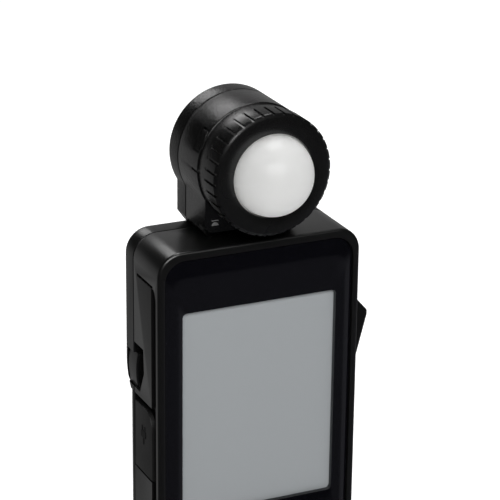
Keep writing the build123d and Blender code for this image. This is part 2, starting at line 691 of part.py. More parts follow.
def strap_bar():
    """Bowed bar beside the strap opening, from its floor to the rear cover's lintel."""
    z0 = SPLIT_Z + EYELET_FLOOR
    z1 = BODY_H - EYELET_DROP - EYELET_LINTEL
    low = -SIDE + BAR_IN
    outer = ThreePointArc((low, z0), (low - BAR_BOW, (z0 + z1) / 2), (low, z1))
    rest = Polyline((low, z1), (low + BAR_T, z1), (low + BAR_T, z0), (low, z0))
    bar = slab(make_face([outer, rest]), FRONT + BAR_FRONT, FRONT + BAR_FRONT + BAR_W)
    bowed = bar.edges().filter_by(GeomType.CIRCLE)
    return fillet(bowed, 0.6)


def case_screws():
    head = (SCREW_R, SCREW_HEAD_R, SCREW_HEAD_L)
    upper = [screw_y(*head, SCREW_L, SCREW_SEAT, x, z) for x, z in screw_places()]
    lower = [screw_y(*head, TAB_SCREW_L, TAB_SEAT, x, z) for x, z in tab_places()]
    return upper + lower


def tripod_insert():
    """Brass bush with the 1/4 inch socket, knurled by two grooves."""
    low = (Align.CENTER, Align.CENTER, Align.MIN)
    bush = Cylinder(INSERT_R, INSERT_L, align=low) - Cylinder(SOCKET_R, SOCKET_L, align=low)
    for z in (2.2, 4.8):
        ring = Cylinder(INSERT_R + 1, 1.0, align=low) - Cylinder(INSERT_R - 0.5, 1.0, align=low)
        bush -= Pos(0, 0, z) * ring
    return bush


# ---- batteries
def battery_cover():
    """Sliding cover of the lower back; it draws off downwards."""
    shell = slab(body_outline(), SEAM, LOWER_BACK)
    long_edges = edges_at(shell, Axis.Y, LOWER_BACK)
    shell = fillet(long_edges, LOWER_EDGE_R)
    shell = chamfer(edges_at(shell, Axis.Y, SEAM), SEAM_BEVEL)
    top = SPLIT_Z - SLIP
    shell &= block((-SIDE - 1, SIDE + 1), (SEAM + 0.1, BACK), (-1, top))
    shell -= slab(body_outline(WALL), SEAM - 1, LOWER_BACK - BACK_WALL)
    for step in range(5):
        z = top - 7.0 - 1.6 * step
        shell -= block((-6, 6), (LOWER_BACK - 0.4, LOWER_BACK + 1), (z - 0.35, z + 0.35))
    return shell


def cell_places():
    across = CELL_R + CELL_GAP / 2
    return (-across, across)


def battery_tray():
    tray = block((-TRAY_HALF, TRAY_HALF), (TRAY_Y, SEAM - 0.2), (TRAY_BOTTOM, TRAY_TOP))
    inner = TRAY_HALF - TRAY_WALL
    tray -= block((-inner, inner), (TRAY_Y + TRAY_FLOOR, SEAM + 1), (TRAY_BOTTOM + TRAY_WALL, TRAY_TOP - TRAY_WALL))
    foot_z = TRAY_BOTTOM + 2.0
    for x in (-TRAY_HALF, TRAY_HALF - TRAY_WALL):
        tray += block((x, x + TRAY_WALL), (BOARD_BACK, TRAY_Y), (foot_z, foot_z + 6.0))
    return tray


def battery_cells():
    """Two AAA cells, one each way up."""
    cells = []
    for x, up in zip(cell_places(), (1, -1)):
        length = CELL_L
        body = Cylinder(CELL_R, length) + Pos(0, 0, length / 2 + CELL_NIB_L / 2) * Cylinder(CELL_NIB_R, CELL_NIB_L)
        body = chamfer(body.edges().filter_by(GeomType.CIRCLE).filter_by(lambda e: e.radius > CELL_R - 0.1), 0.4)
        turn = Rot(0, 0, 0) if up > 0 else Rot(180, 0, 0)
        z = CELL_BOTTOM + length / 2 if up > 0 else CELL_TOP - length / 2
        cells.append(Pos(x, CELL_Y, z) * turn * body)
    return cells


def battery_springs():
    """Coil contact under the flat end of the left cell; the other cell meets the plate."""
    low = CELL_BOTTOM - SPRING_L
    left = cell_places()[0]
    spring = coil(SPRING_R, SPRING_WIRE, SPRING_L, SPRING_TURNS)
    return [Pos(left, CELL_Y, low) * spring]


def battery_plates():
    """Sheet contacts at both ends of the tray."""
    reach = CELL_R - 1.0
    low = TRAY_BOTTOM + TRAY_WALL
    high = TRAY_TOP - TRAY_WALL
    y = (CELL_Y - reach, CELL_Y + reach - 2.5)
    left, right = cell_places()
    full = (left - reach, right + reach)
    return [block(full, y, (low, low + PLATE_T)), block(full, y, (high - PLATE_T, high))]


# ---- head
def head_outline(radius, inset=0.0):
    """Round head on its neck, in X and Z."""
    half = NECK_W / 2 - inset
    foot = NECK_FOOT_W / 2 - inset
    base = BODY_H + inset
    neck = make_face(Polyline((-foot, base), (foot, base), (half, base + NECK_CUT), (half, HEAD_Z),
                              (-half, HEAD_Z), (-half, base + NECK_CUT), close=True))
    return neck + Pos(0, HEAD_Z) * Circle(radius - inset)


def neck_corner(side, y_front, y_back):
    """What the rounding of one lower corner takes off the neck's front."""
    share = NECK_LIP / NECK_CUT
    half = NECK_FOOT_W / 2 + (NECK_W - NECK_FOOT_W) / 2 * share
    low = BODY_H + NECK_LIP
    x = sorted((side * (half - NECK_CORNER_R), side * SIDE))
    corner = block(x, (y_front, y_back), (low - 1, low + NECK_CORNER_R))
    return corner - rod_y(NECK_CORNER_R, y_front - 1, y_back + 1, side * (half - NECK_CORNER_R), low + NECK_CORNER_R)


def notch_place(radius):
    """Middle of the accessory recess on a given radius."""
    y = FRONT + COLLAR_BACK + NOTCH_BACK + NOTCH_L / 2
    return Pos(0, 0, HEAD_Z) * Rot(0, -NOTCH_TURN, 0) * Pos(0, y, radius)


def index_mark(radius):
    """Small groove along the head's left side."""
    middle = FRONT + (MARK_START + MARK_END) / 2
    groove = Box(MARK_W, MARK_END - MARK_START, 2 * MARK_DEEP)
    return Pos(0, 0, HEAD_Z) * Rot(0, -MARK_TURN, 0) * Pos(0, middle, radius) * groove


def head_housing():
    front = FRONT + COLLAR_BACK
    lip = FRONT + NECK_FRONT
    shell = slab(head_outline(HEAD_R), front, SEAM)
    shell = fillet(edges_at(shell, Axis.Y, front).filter_by(GeomType.CIRCLE), HEAD_LIP_R)
    shell -= block((-SIDE, SIDE), (front - 1, lip), (BODY_H - 1, HEAD_Z - HEAD_R * 0.75))
    shell = chamfer(edges_at(shell, Axis.Y, SEAM), SEAM_BEVEL)
    shell -= block((-SIDE, SIDE), (front - 1, lip + NECK_FOOT_SETBACK), (BODY_H - 1, BODY_H + NECK_LIP))
    for side in (-1, 1):
        shell -= neck_corner(side, lip - 1, lip + NECK_FOOT_SETBACK)
    bore = TUBE_R + RUN_GAP
    shell -= sleeve(bore, 0, front - 1, FRONT + BARREL_RIM - 0.8)
    shell -= sleeve(TUBE_R + CLIP_REACH + RUN_GAP, 0, front - 1, FRONT + CLIP_Y + CLIP_T + RUN_GAP)
    shell -= sleeve(bore - 1.0, 0, front, FRONT + BARREL_RIM)
    shell -= sleeve(HEAD_R - HEAD_WALL, 0, FRONT + BARREL_RIM, SEAM + 1)
    way_y = (FRONT + TONGUE_FRONT + WAY_WALL, FRONT + TONGUE_FRONT + TONGUE_D - WAY_WALL)
    way_x = (-TONGUE_W / 2 + WAY_WALL, TONGUE_W / 2 - WAY_WALL)
    tongue = block((-TONGUE_W / 2, TONGUE_W / 2),
                   (FRONT + TONGUE_FRONT, FRONT + TONGUE_FRONT + TONGUE_D), (BODY_H - TONGUE_L, BODY_H + 1))
    shell += tongue
    shell -= block(way_x, way_y, (BODY_H - TONGUE_L - 1, BODY_H + WAY_LOW))
    shell -= block(way_x, (way_y[0], SEAM + 1), (BODY_H + WAY_LOW, BODY_H + WAY_HIGH))
    for x, z in head_screw_places():
        shell -= rod_y(SCREW_R + LOOSE, BACK - SCREW_HEAD_L - HEAD_SCREW_L - 2.0, SEAM + 1, x, z)
    shell -= notch_place(HEAD_R) * Box(NOTCH_W, NOTCH_L, 2 * NOTCH_DEEP)
    return shell - index_mark(HEAD_R)


def accessory_insert():
    """Ribbed insert in the recess at the head's shoulder."""
    base = notch_place(HEAD_R - NOTCH_DEEP)
    floor = (Align.CENTER, Align.CENTER, Align.MIN)
    plate = Box(STRIP_W, STRIP_L, STRIP_T, align=floor)
    for step in (-1, 0, 1):
        plate += Pos(0, step * STRIP_L / 3, 0) * Box(STRIP_W - 0.4, STRIP_RIB, NOTCH_DEEP * 0.8, align=floor)
    return base * plate


def head_rear_cap():
    shell = slab(head_outline(CAP_R), SEAM, BACK)
    shell = fillet(edges_at(shell, Axis.Y, BACK), HEAD_EDGE_R)
    shell = chamfer(edges_at(shell, Axis.Y, SEAM), SEAM_BEVEL)
    shell -= sleeve(HEAD_R - HEAD_WALL - 0.4, 0, SEAM - 1, BACK - BACK_WALL)
    way = TONGUE_W / 2 - WAY_WALL
    shell -= block((-way, way), (SEAM - 1, BACK - BACK_WALL - 1.5), (BODY_H + WAY_LOW, HEAD_Z - 9.0))
    for x, z in head_screw_places():
        shell -= rod_y(SCREW_R + LOOSE, SEAM - 1, BACK, x, z)
        shell -= rod_y(SCREW_HEAD_R + 0.2, BACK - SCREW_HEAD_L - 0.4, BACK + 1, x, z)
    return shell


def head_screws():
    seat = BACK - SCREW_HEAD_L - 0.4
    return [screw_y(SCREW_R, SCREW_HEAD_R, SCREW_HEAD_L, HEAD_SCREW_L, seat, x, z) for x, z in head_screw_places()]


def head_collar():
    """Smooth fixed ring the retraction ring turns against, with the pocket of its click ball."""
    collar = sleeve(COLLAR_R, TUBE_R + RUN_GAP, FRONT + COLLAR_FRONT, FRONT + COLLAR_BACK)
    collar = fillet(edges_at(collar, Axis.Y, FRONT + COLLAR_FRONT)[-1:], 0.3)
    pocket_end = FRONT + COLLAR_BACK - 0.6
    collar -= index_mark(COLLAR_R)
    return collar - rod_y(BALL_R + LOOSE, FRONT + COLLAR_FRONT - 1, pocket_end, 0, HEAD_Z + BALL_TRACK_R)


def detent_ball():
    y = FRONT + COLLAR_FRONT - BALL_PROUD + BALL_R
    return Pos(0, y, HEAD_Z + BALL_TRACK_R) * Sphere(BALL_R)


def detent_spring():
    y0 = FRONT + COLLAR_FRONT - BALL_PROUD + 2 * BALL_R
    y1 = FRONT + COLLAR_BACK - 0.6
    spring = coil(BALL_R - 0.2, 0.12, y1 - y0, 5)
    return Pos(0, y1, HEAD_Z + BALL_TRACK_R) * Rot(90, 0, 0) * spring


def retraction_ring():
    """Knurled ring that draws the dome in; bevelled nose and flat face round the dome."""
    back = FRONT + RING_BACK
    nose_y = RING_FACE + RING_NOSE
    bore = TUBE_R + LOOSE
    ring = turned([(RING_MOUTH_R, RING_FACE), (RING_R - RING_BEVEL, RING_FACE), (RING_R, nose_y),
                   (RING_R, back), (bore, back), (bore, PLATE_BACK), (RING_MOUTH_R, PLATE_BACK)])
    flute = Pos(0, (nose_y + back) / 2, RING_R) * Box(KNURL_W, back - nose_y + 0.02, 2 * KNURL_DEEP)
    for index in range(KNURLS):
        ring -= Pos(0, 0, HEAD_Z) * Rot(0, 360 / KNURLS * index, 0) * flute
    track = sleeve(BALL_TRACK_R + BALL_R, BALL_TRACK_R - BALL_R, back - BALL_PROUD, back + 1)
    return ring - track


def cam_tube():
    """Tube fixed in the ring, with one helical slot for each cam pin."""
    tube = sleeve(TUBE_R, TUBE_R - TUBE_T, PLATE_BACK, FRONT + TUBE_BACK)
    groove_y = FRONT + CLIP_Y
    tube -= sleeve(TUBE_R + 1, TUBE_R - CLIP_SEAT, groove_y, groove_y + CLIP_T)
    cutter = Pos(0, 0, TUBE_R) * Cylinder(PIN_R + SLOT_GAP, 4 * TUBE_T)
    slots = []
    for index in range(PIN_COUNT):
        for step in range(SLOT_STEPS + 1):
            part = step / SLOT_STEPS
            turn = 360 / PIN_COUNT * index - RING_TURN * part
            y = FRONT + PIN_Y + DOME_TRAVEL * part
            slots.append(Pos(0, y, HEAD_Z) * Rot(0, turn, 0) * cutter)
    return tube - slots


def ring_clip():
    """Open spring ring in the cam tube's groove; it keeps the ring on the head."""
    y0 = FRONT + CLIP_Y + LOOSE
    clip = sleeve(TUBE_R + CLIP_REACH, TUBE_R - CLIP_SEAT + LOOSE, y0, y0 + CLIP_T - 2 * LOOSE)
    return clip - Pos(0, y0, HEAD_Z - TUBE_R) * Box(6, 4, 6)


def dome():
    """White translucent half sphere with a short skirt and a flange."""
    y1 = DOME_Y + DOME_SKIRT
    inner = DOME_R - DOME_T
    outer_arc = CenterArc((0, DOME_Y), DOME_R, 270, 90)
    inner_arc = CenterArc((0, DOME_Y), inner, 270, 90)
    rim = Polyline((DOME_R, DOME_Y), (DOME_R, y1 - DOME_FLANGE_T), (DOME_FLANGE_R, y1 - DOME_FLANGE_T),
                   (DOME_FLANGE_R, y1), (inner, y1), (inner, DOME_Y))
    tip = Line((0, DOME_Y - DOME_R), (0, DOME_Y - inner))
    profile = make_face([outer_arc, rim, inner_arc, tip])
    return Pos(0, 0, HEAD_Z) * revolve(profile, Axis.Y)


def carrier_front():
    return DOME_Y + DOME_SKIRT - DOME_FLANGE_T


def dome_carrier():
    """Sliding sleeve that holds the dome and is keyed on the sensor barrel."""
    front = carrier_front()
    outer = TUBE_R - TUBE_T - RUN_GAP
    body = sleeve(outer, CARRIER_BORE_R, front, FRONT + CARRIER_BACK)
    body -= sleeve(DOME_FLANGE_R + LOOSE, 0, front - 1, front + DOME_FLANGE_T)
    for side in (-1, 1):
        reach = BARREL_R + KEY_RIB_H + RUN_GAP
        x = sorted((0, side * reach))
        half = KEY_RIB_W / 2 + RUN_GAP
        body -= block(x, (front - 1, FRONT + CARRIER_BACK + 1), (HEAD_Z - half, HEAD_Z + half))
    for index in range(PIN_COUNT):
        hole = Pos(0, FRONT + PIN_Y, HEAD_Z) * Rot(0, 360 / PIN_COUNT * index, 0)
        body -= hole * Pos(0, 0, outer) * Cylinder(PIN_R + LOOSE, 3.0)
    return body


def cam_pins():
    outer = TUBE_R - TUBE_T - RUN_GAP
    tip = TUBE_R - TUBE_T + PIN_TIP
    root = outer - 1.4
    pin = Pos(0, 0, (root + tip) / 2) * Cylinder(PIN_R, tip - root)
    turns = [360 / PIN_COUNT * index for index in range(PIN_COUNT)]
    return [Pos(0, FRONT + PIN_Y, HEAD_Z) * Rot(0, turn, 0) * pin for turn in turns]


def sensor_barrel():
    """Fixed light tunnel behind the dome, with two guide ribs and a rear flange."""
    front = FRONT + BARREL_FRONT
    rim = FRONT + BARREL_RIM
    barrel = sleeve(BARREL_R, BARREL_BORE_R, front, rim + BARREL_RIM_T)
    barrel += sleeve(HEAD_R - HEAD_WALL - 2 * LOOSE, BARREL_BORE_R, rim, rim + BARREL_RIM_T)
    for side in (-1, 1):
        x = sorted((side * (BARREL_R - 0.4), side * (BARREL_R + KEY_RIB_H)))
        barrel += block(x, (front + 1.6, rim), (HEAD_Z - KEY_RIB_W / 2, HEAD_Z + KEY_RIB_W / 2))
    barrel -= sleeve(BARREL_BORE_R + FILTER_SEAT, 0, front - 1, front + FILTER_T)
    return barrel


def ir_filter():
    front = FRONT + BARREL_FRONT
    return rod_y(BARREL_BORE_R + FILTER_SEAT - LOOSE, front, front + FILTER_T, 0, HEAD_Z)


def sensor_board():
    y0 = FRONT + BARREL_RIM + BARREL_RIM_T
    return rod_y(HEAD_R - HEAD_WALL - 1.6, y0, y0 + SENSOR_T, 0, HEAD_Z)


def photodiode():
    y1 = FRONT + BARREL_RIM + BARREL_RIM_T
    half = DIODE_W / 2
    package = block((-half, half), (y1 - DIODE_T, y1), (HEAD_Z - half, HEAD_Z + half))
    return chamfer(edges_at(package, Axis.Y, y1 - DIODE_T), 0.3)


def sensor_flex():
    """Ribbon from the sensor board, through the neck, to the main board."""
    y_top = FRONT + BARREL_RIM + BARREL_RIM_T + SENSOR_T + FLEX_T / 2 + 0.02
    y_way = FRONT + TONGUE_FRONT + TONGUE_D / 2
    z_turn = BODY_H + (WAY_LOW + WAY_HIGH) / 2 - 0.8
    z_low = BODY_H - TONGUE_L - 2.4
    route = FilletPolyline((y_top, HEAD_Z - 9.0), (y_top, z_turn + 2.0), (y_way, z_turn - 0.2), (y_way, z_low),
                           (BOARD_BACK + 0.02, z_low), radius=0.9)
    ribbon = trace(route, FLEX_T)
    return side_plate(ribbon, -FLEX_W / 2, FLEX_W / 2)


def main():
    os.makedirs("parts", exist_ok=True)
    makers = [front_case, front_panel, panel_tape, touch_film, lcd_module, display_backlight, main_board,
              board_screws, button_mat, measuring_button, measuring_switch, usb_socket,
              usb_cover, sync_terminal, rear_cover, strap_bar, case_screws, tripod_insert, battery_cover,
              battery_tray, battery_cells, battery_springs, battery_plates, head_housing, accessory_insert,
              head_rear_cap, head_screws, head_collar, detent_ball, detent_spring, retraction_ring, cam_tube,
              ring_clip, dome, dome_carrier, cam_pins, sensor_barrel, ir_filter, sensor_board, photodiode,
              sensor_flex]
    shapes = {maker.__name__: maker() for maker in makers}
    for name in BUTTONS:
        shapes[name] = front_button(name)
    for name, shape in shapes.items():
        if isinstance(shape, list):
            shape = Compound(children=shape)
        export_step(shape, f"parts/{name}.step")


main()
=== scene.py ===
import json
import math

import bmesh
import bpy
from mathutils import Matrix, Vector


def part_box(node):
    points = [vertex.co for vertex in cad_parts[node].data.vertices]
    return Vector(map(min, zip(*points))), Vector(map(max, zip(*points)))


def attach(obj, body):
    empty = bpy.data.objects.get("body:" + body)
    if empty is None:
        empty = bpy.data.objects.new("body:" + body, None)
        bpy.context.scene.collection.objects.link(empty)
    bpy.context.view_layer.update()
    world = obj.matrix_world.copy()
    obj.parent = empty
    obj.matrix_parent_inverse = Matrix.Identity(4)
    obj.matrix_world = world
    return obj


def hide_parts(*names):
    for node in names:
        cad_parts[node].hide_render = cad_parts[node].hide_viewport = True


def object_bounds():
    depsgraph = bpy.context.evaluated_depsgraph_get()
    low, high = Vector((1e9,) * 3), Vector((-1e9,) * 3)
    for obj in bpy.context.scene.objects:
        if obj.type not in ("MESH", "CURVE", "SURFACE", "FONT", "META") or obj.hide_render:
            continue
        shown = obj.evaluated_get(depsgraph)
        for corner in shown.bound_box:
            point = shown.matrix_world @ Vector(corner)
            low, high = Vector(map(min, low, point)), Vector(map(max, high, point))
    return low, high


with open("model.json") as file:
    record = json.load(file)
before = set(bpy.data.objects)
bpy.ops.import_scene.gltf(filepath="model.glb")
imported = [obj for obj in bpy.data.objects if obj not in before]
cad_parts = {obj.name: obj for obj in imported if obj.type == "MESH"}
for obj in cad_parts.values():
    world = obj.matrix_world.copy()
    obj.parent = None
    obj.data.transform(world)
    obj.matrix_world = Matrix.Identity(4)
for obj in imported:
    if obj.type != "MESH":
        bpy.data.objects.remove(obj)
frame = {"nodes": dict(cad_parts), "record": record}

CAD_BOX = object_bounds()

MM = 0.001
NODES = frame["nodes"]
BODY_OF = {node: body for body, nodes in frame["record"]["behaviour"]["bodies"].items() for node in nodes}
SLOT_OF = {part["node"]: part["material_slot"] for part in frame["record"]["subparts"]}
CASE_LOW, CASE_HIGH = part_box("front_case")
PANEL_LOW, PANEL_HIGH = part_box("front_panel")
FILM_LOW, FILM_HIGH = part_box("touch_film")
RING_LOW, RING_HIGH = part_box("retraction_ring")
DOME_LOW, DOME_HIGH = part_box("dome")
FLAP_LOW, FLAP_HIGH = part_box("usb_cover")
HEAD_Z = (DOME_LOW.z + DOME_HIGH.z) / 2
BODY_TOP = CASE_HIGH.z
FRONT = CASE_LOW.y

# ---- camera
VIEW_TURN = 25.08            # degrees round from straight in front, towards the left side
VIEW_RISE = 20.76            # degrees above level
VIEW_ROLL = 0.66
VIEW_DISTANCE = 568.5 * MM
VIEW_LENS = 161.0
VIEW_AIM = Vector((-3.18 * MM, FRONT, BODY_TOP - 1.97 * MM))

# ---- front panel
PANEL_R = 5.5 * MM           # outline corners
PANEL_BAND = 4.5 * MM        # sloping band along the top and bottom edges
PANEL_SIDE_BAND = 2.0 * MM   # and along the sides
PANEL_FALL = 0.6 * MM        # how far the bands fall back at the edge
PANEL_SOFT = 0.05            # share of a band's width over which it rounds into the field
PANEL_BLEND = 0.03           # share of the fall lost in that rounding
PANEL_LIP = 0.1 * MM         # rounded arris outside the bands
VIEW_R = 1.2 * MM            # corners of the display window
VIEW_SIDE = 0.8 * MM         # window inside the touch film's edge, at the sides
VIEW_END = 1.8 * MM          # and at the top and bottom
VIEW_BEVEL = 0.12 * MM
BUTTON_FLANGE = 0.7 * MM
BUTTON_GAP = 0.25 * MM

# ---- knurled ring
KNURLS = 35
KNURL_HALF = 0.30 * MM       # half the width of a flute's floor
KNURL_DEEP = 0.5 * MM
KNURL_FLANK = 0.07 * MM      # width of a flute's sloping side
RING_MOUTH_R = 10.9 * MM
RING_BORE_R = 13.65 * MM
RING_PLATE = 1.7 * MM
RING_NOSE = 0.9 * MM
RING_BEVEL = 0.9 * MM
ARRIS = 0.12 * MM            # broken edges

# ---- dome
DOME_R = 10.6 * MM
DOME_WALL = 1.2 * MM
DOME_FLANGE_R = 11.4 * MM
DOME_FLANGE_T = 0.9 * MM

# ---- screws
SCREW_HEAD_R = 1.8 * MM
SCREW_HEAD_L = 1.3 * MM
SCREW_R = 1.0 * MM
SCREW_RECESS = 0.95 * MM     # arm of the cross recess
SCREW_RECESS_W = 0.2 * MM
THREAD_PITCH = 0.7 * MM
THREAD_DEEP = 0.14 * MM

# ---- marks
PLUG_RISE = 0.12 * MM        # raised sign above the flap
PLUG_SINK = 0.05 * MM        # and its foot below the flap's face
MARK_RISE = 0.02 * MM        # printed signs
NECK_SETBACK = 4.6 * MM      # front face back to the neck's front
NECK_MARK_X = -10.9 * MM
NECK_MARK_RISE = 4.2 * MM    # body top to the half-round's foot
NECK_MARK_R = 0.95 * MM

# ---- mesh finish
WELD = 1e-7                  # vertices nearer than this are one
CAD_WELD = 1e-6              # and in a CAD shell that is to be softened
FLAT_ANGLE = math.radians(0.5)     # faces turned by less than this are joined
ROUND_ANGLE = math.radians(30.0)   # edges sharper than this are rounded
ROUND_STEPS = 2

# ---- floor and lights
FLOOR_HALF = 3.0
FLOOR_GAP = 0.1 * MM
SOFTBOXES = (                # name, place, width, height and brightness
    ("front_softbox", (-0.18, -0.84, 0.72), 0.84, 0.42, 9.8),
    ("overhead_softbox", (0.12, 0.16, 0.92), 0.32, 0.30, 11.0),
    ("top_softbox", (-0.02, 0.64, 0.56), 0.30, 0.22, 3.6),
)


# ---- shader node groups
def new_group(name, inputs, outputs):
    """An empty shader node group with named sockets, each given as kind and, for inputs, a start value."""
    kinds = {"colour": "NodeSocketColor", "value": "NodeSocketFloat"}
    tree = bpy.data.node_groups.new(name, "ShaderNodeTree")
    for label, kind, start in inputs:
        socket = tree.interface.new_socket(label, in_out="INPUT", socket_type=kinds[kind])
        socket.default_value = (*start, 1.0) if kind == "colour" else start
    for label, kind in outputs:
        tree.interface.new_socket(label, in_out="OUTPUT", socket_type=kinds[kind])
    return tree, tree.nodes.new("NodeGroupInput").outputs, tree.nodes.new("NodeGroupOutput").inputs


def put(tree, kind, values=(), **settings):
    """Adds a node with its settings, and sets or links its inputs by name or number."""
    made = tree.nodes.new(kind)
    for label, value in settings.items():
        setattr(made, label, value)
    for label, value in dict(values).items():
        if isinstance(value, bpy.types.NodeSocket):
            tree.links.new(value, made.inputs[label])
        else:
            made.inputs[label].default_value = value
    return made


def maths(tree, operation, first, second, clamp=False):
    made = put(tree, "ShaderNodeMath", {0: first, 1: second}, operation=operation, use_clamp=clamp)
    return made.outputs[0]


def noise(tree, vector, scale, detail, roughness=0.5):
    values = {"Vector": vector, "Scale": scale, "Detail": detail, "Roughness": roughness}
    return put(tree, "ShaderNodeTexNoise", values).outputs[0]


def blend_colours(tree, factor, first, second):
    mix = put(tree, "ShaderNodeMix", {"Factor": factor}, data_type="RGBA")
    for label, value in (("A", first), ("B", second)):
        socket = [s for s in mix.inputs if s.name == label and s.type == "RGBA"][0]
        if isinstance(value, bpy.types.NodeSocket):
            tree.links.new(value, socket)
        else:
            socket.default_value = (*value, 1.0)
    return [s for s in mix.outputs if s.type == "RGBA"][0]


def stretch(tree, factor, low, high):
    """A factor's range from low to high, spread over 0 to 1."""
    made = put(tree, "ShaderNodeMapRange", {"Value": factor, "From Min": low, "From Max": high})
    return made.outputs["Result"]


def make_moulded_skin():
    """Moulded plastic: spark-eroded grain, pale flecks on the grain's tops and slow changes of gloss."""
    tree, given, out = new_group(
        "moulded_skin",
        [("Colour", "colour", (0.01, 0.01, 0.01)), ("Fleck Colour", "colour", (0.02, 0.02, 0.02)),
         ("Grains per Metre", "value", 4000.0), ("Roughness", "value", 0.4),
         ("Roughness Spread", "value", 0.1)],
        [("Colour", "colour"), ("Roughness", "value"), ("Height", "value")])
    place = put(tree, "ShaderNodeTexCoord").outputs["Object"]
    grain = noise(tree, place, given["Grains per Metre"], 3.0, 0.6)
    coarse = noise(tree, place, maths(tree, "MULTIPLY", given["Grains per Metre"], 0.35), 2.0)
    height = maths(tree, "ADD", maths(tree, "MULTIPLY", grain, 0.7), maths(tree, "MULTIPLY", coarse, 0.3))
    slow = noise(tree, place, maths(tree, "MULTIPLY", given["Grains per Metre"], 0.02), 2.0)
    wander = maths(tree, "MULTIPLY", maths(tree, "SUBTRACT", slow, 0.5), given["Roughness Spread"])
    fleck = stretch(tree, height, 0.55, 0.75)
    tree.links.new(blend_colours(tree, fleck, given["Colour"], given["Fleck Colour"]), out["Colour"])
    tree.links.new(maths(tree, "ADD", given["Roughness"], wander, clamp=True), out["Roughness"])
    tree.links.new(height, out["Height"])
    return tree


def make_settled_dust():
    """Specks of dust on faces that look up."""
    tree, given, out = new_group(
        "settled_dust",
        [("Colour", "colour", (0.01, 0.01, 0.01)), ("Dust Colour", "colour", (0.3, 0.29, 0.27)),
         ("Amount", "value", 0.1)],
        [("Colour", "colour")])
    place = put(tree, "ShaderNodeTexCoord").outputs["Object"]
    specks = stretch(tree, noise(tree, place, 2600.0, 4.0, 0.7), 0.62, 0.72)
    normal = put(tree, "ShaderNodeNewGeometry").outputs["Normal"]
    upward = put(tree, "ShaderNodeSeparateXYZ", {0: normal}).outputs["Z"]
    lying = stretch(tree, upward, 0.1, 1.0)
    mask = maths(tree, "MULTIPLY", maths(tree, "MULTIPLY", specks, lying), given["Amount"], clamp=True)
    tree.links.new(blend_colours(tree, mask, given["Colour"], given["Dust Colour"]), out["Colour"])
    return tree


def make_drawn_metal():
    """Fine tool lines along one direction and a slow cloud of tarnish."""
    tree, given, out = new_group(
        "drawn_metal",
        [("Colour", "colour", (0.5, 0.5, 0.5)), ("Tarnish Colour", "colour", (0.3, 0.3, 0.3)),
         ("Roughness", "value", 0.3)],
        [("Colour", "colour"), ("Roughness", "value"), ("Height", "value")])
    place = put(tree, "ShaderNodeTexCoord").outputs["Object"]
    along = put(tree, "ShaderNodeMapping", {"Vector": place, "Scale": (400.0, 9000.0, 9000.0)})
    lines = noise(tree, along.outputs["Vector"], 1.0, 2.0)
    cloud = noise(tree, place, 500.0, 3.0, 0.6)
    tarnish = stretch(tree, cloud, 0.45, 0.75)
    tree.links.new(blend_colours(tree, tarnish, given["Colour"], given["Tarnish Colour"]), out["Colour"])
    rough = maths(tree, "ADD", given["Roughness"], maths(tree, "MULTIPLY", lines, 0.15))
    tree.links.new(rough, out["Roughness"])
    tree.links.new(lines, out["Height"])
    return tree


def make_printed_tracks():
    """Copper tracks and vias under a solder mask."""
    tree, given, out = new_group(
        "printed_tracks",
        [("Mask Colour", "colour", (0.02, 0.12, 0.05)), ("Track Colour", "colour", (0.06, 0.22, 0.09)),
         ("Via Colour", "colour", (0.6, 0.5, 0.25))],
        [("Colour", "colour"), ("Height", "value")])
    place = put(tree, "ShaderNodeTexCoord").outputs["Object"]
    cells = put(tree, "ShaderNodeTexVoronoi", {"Vector": place, "Scale": 420.0}, distance="MANHATTAN")
    waves = put(tree, "ShaderNodeTexWave", {"Vector": place, "Scale": 260.0, "Distortion": 0.0})
    tracks = stretch(tree, waves.outputs["Fac"], 0.55, 0.6)
    board = blend_colours(tree, tracks, given["Mask Colour"], given["Track Colour"])
    vias = stretch(tree, cells.outputs["Distance"], 0.12, 0.1)
    tree.links.new(blend_colours(tree, vias, board, given["Via Colour"]), out["Colour"])
    tree.links.new(tracks, out["Height"])
    return tree


GROUPS = {
    "skin": make_moulded_skin(),
    "dust": make_settled_dust(),
    "metal": make_drawn_metal(),
    "tracks": make_printed_tracks(),
}


# ---- materials
def start_material(name, **constants):
    """A material with its Principled shader, whose steady values sit on the shader's own sockets."""
    material = bpy.data.materials.new(name)
    material.use_nodes = True
    shader = material.node_tree.nodes["Principled BSDF"]
    for label, value in constants.items():
        shader.inputs[label.replace("_", " ")].default_value = value
    return material, material.node_tree, shader


def place_group(tree, key, **values):
    made = tree.nodes.new("ShaderNodeGroup")
    made.node_tree = GROUPS[key]
    for label, value in values.items():
        socket = made.inputs[label.replace("_", " ")]
        if isinstance(value, bpy.types.NodeSocket):
            tree.links.new(value, socket)
        elif isinstance(value, tuple):
            socket.default_value = (*value, 1.0)
        else:
            socket.default_value = value
    return made.outputs


def bump(tree, shader, height, depth):
    made = put(tree, "ShaderNodeBump", {"Height": height, "Distance": depth, "Strength": 1.0})
    tree.links.new(made.outputs["Normal"], shader.inputs["Normal"])


def plastic(name, colour, fleck, grains, roughness, spread, depth, dust=0.0, **constants):
    """Moulded plastic, with dust where it has any."""
    material, tree, shader = start_material(name, **constants)
    skin = place_group(tree, "skin", Colour=colour, Fleck_Colour=fleck, Grains_per_Metre=grains,
                       Roughness=roughness, Roughness_Spread=spread)
    colour_out = skin["Colour"]
    if dust:
        colour_out = place_group(tree, "dust", Colour=colour_out, Amount=dust)["Colour"]
    tree.links.new(colour_out, shader.inputs["Base Color"])
    tree.links.new(skin["Roughness"], shader.inputs["Roughness"])
    bump(tree, shader, skin["Height"], depth)
    return material


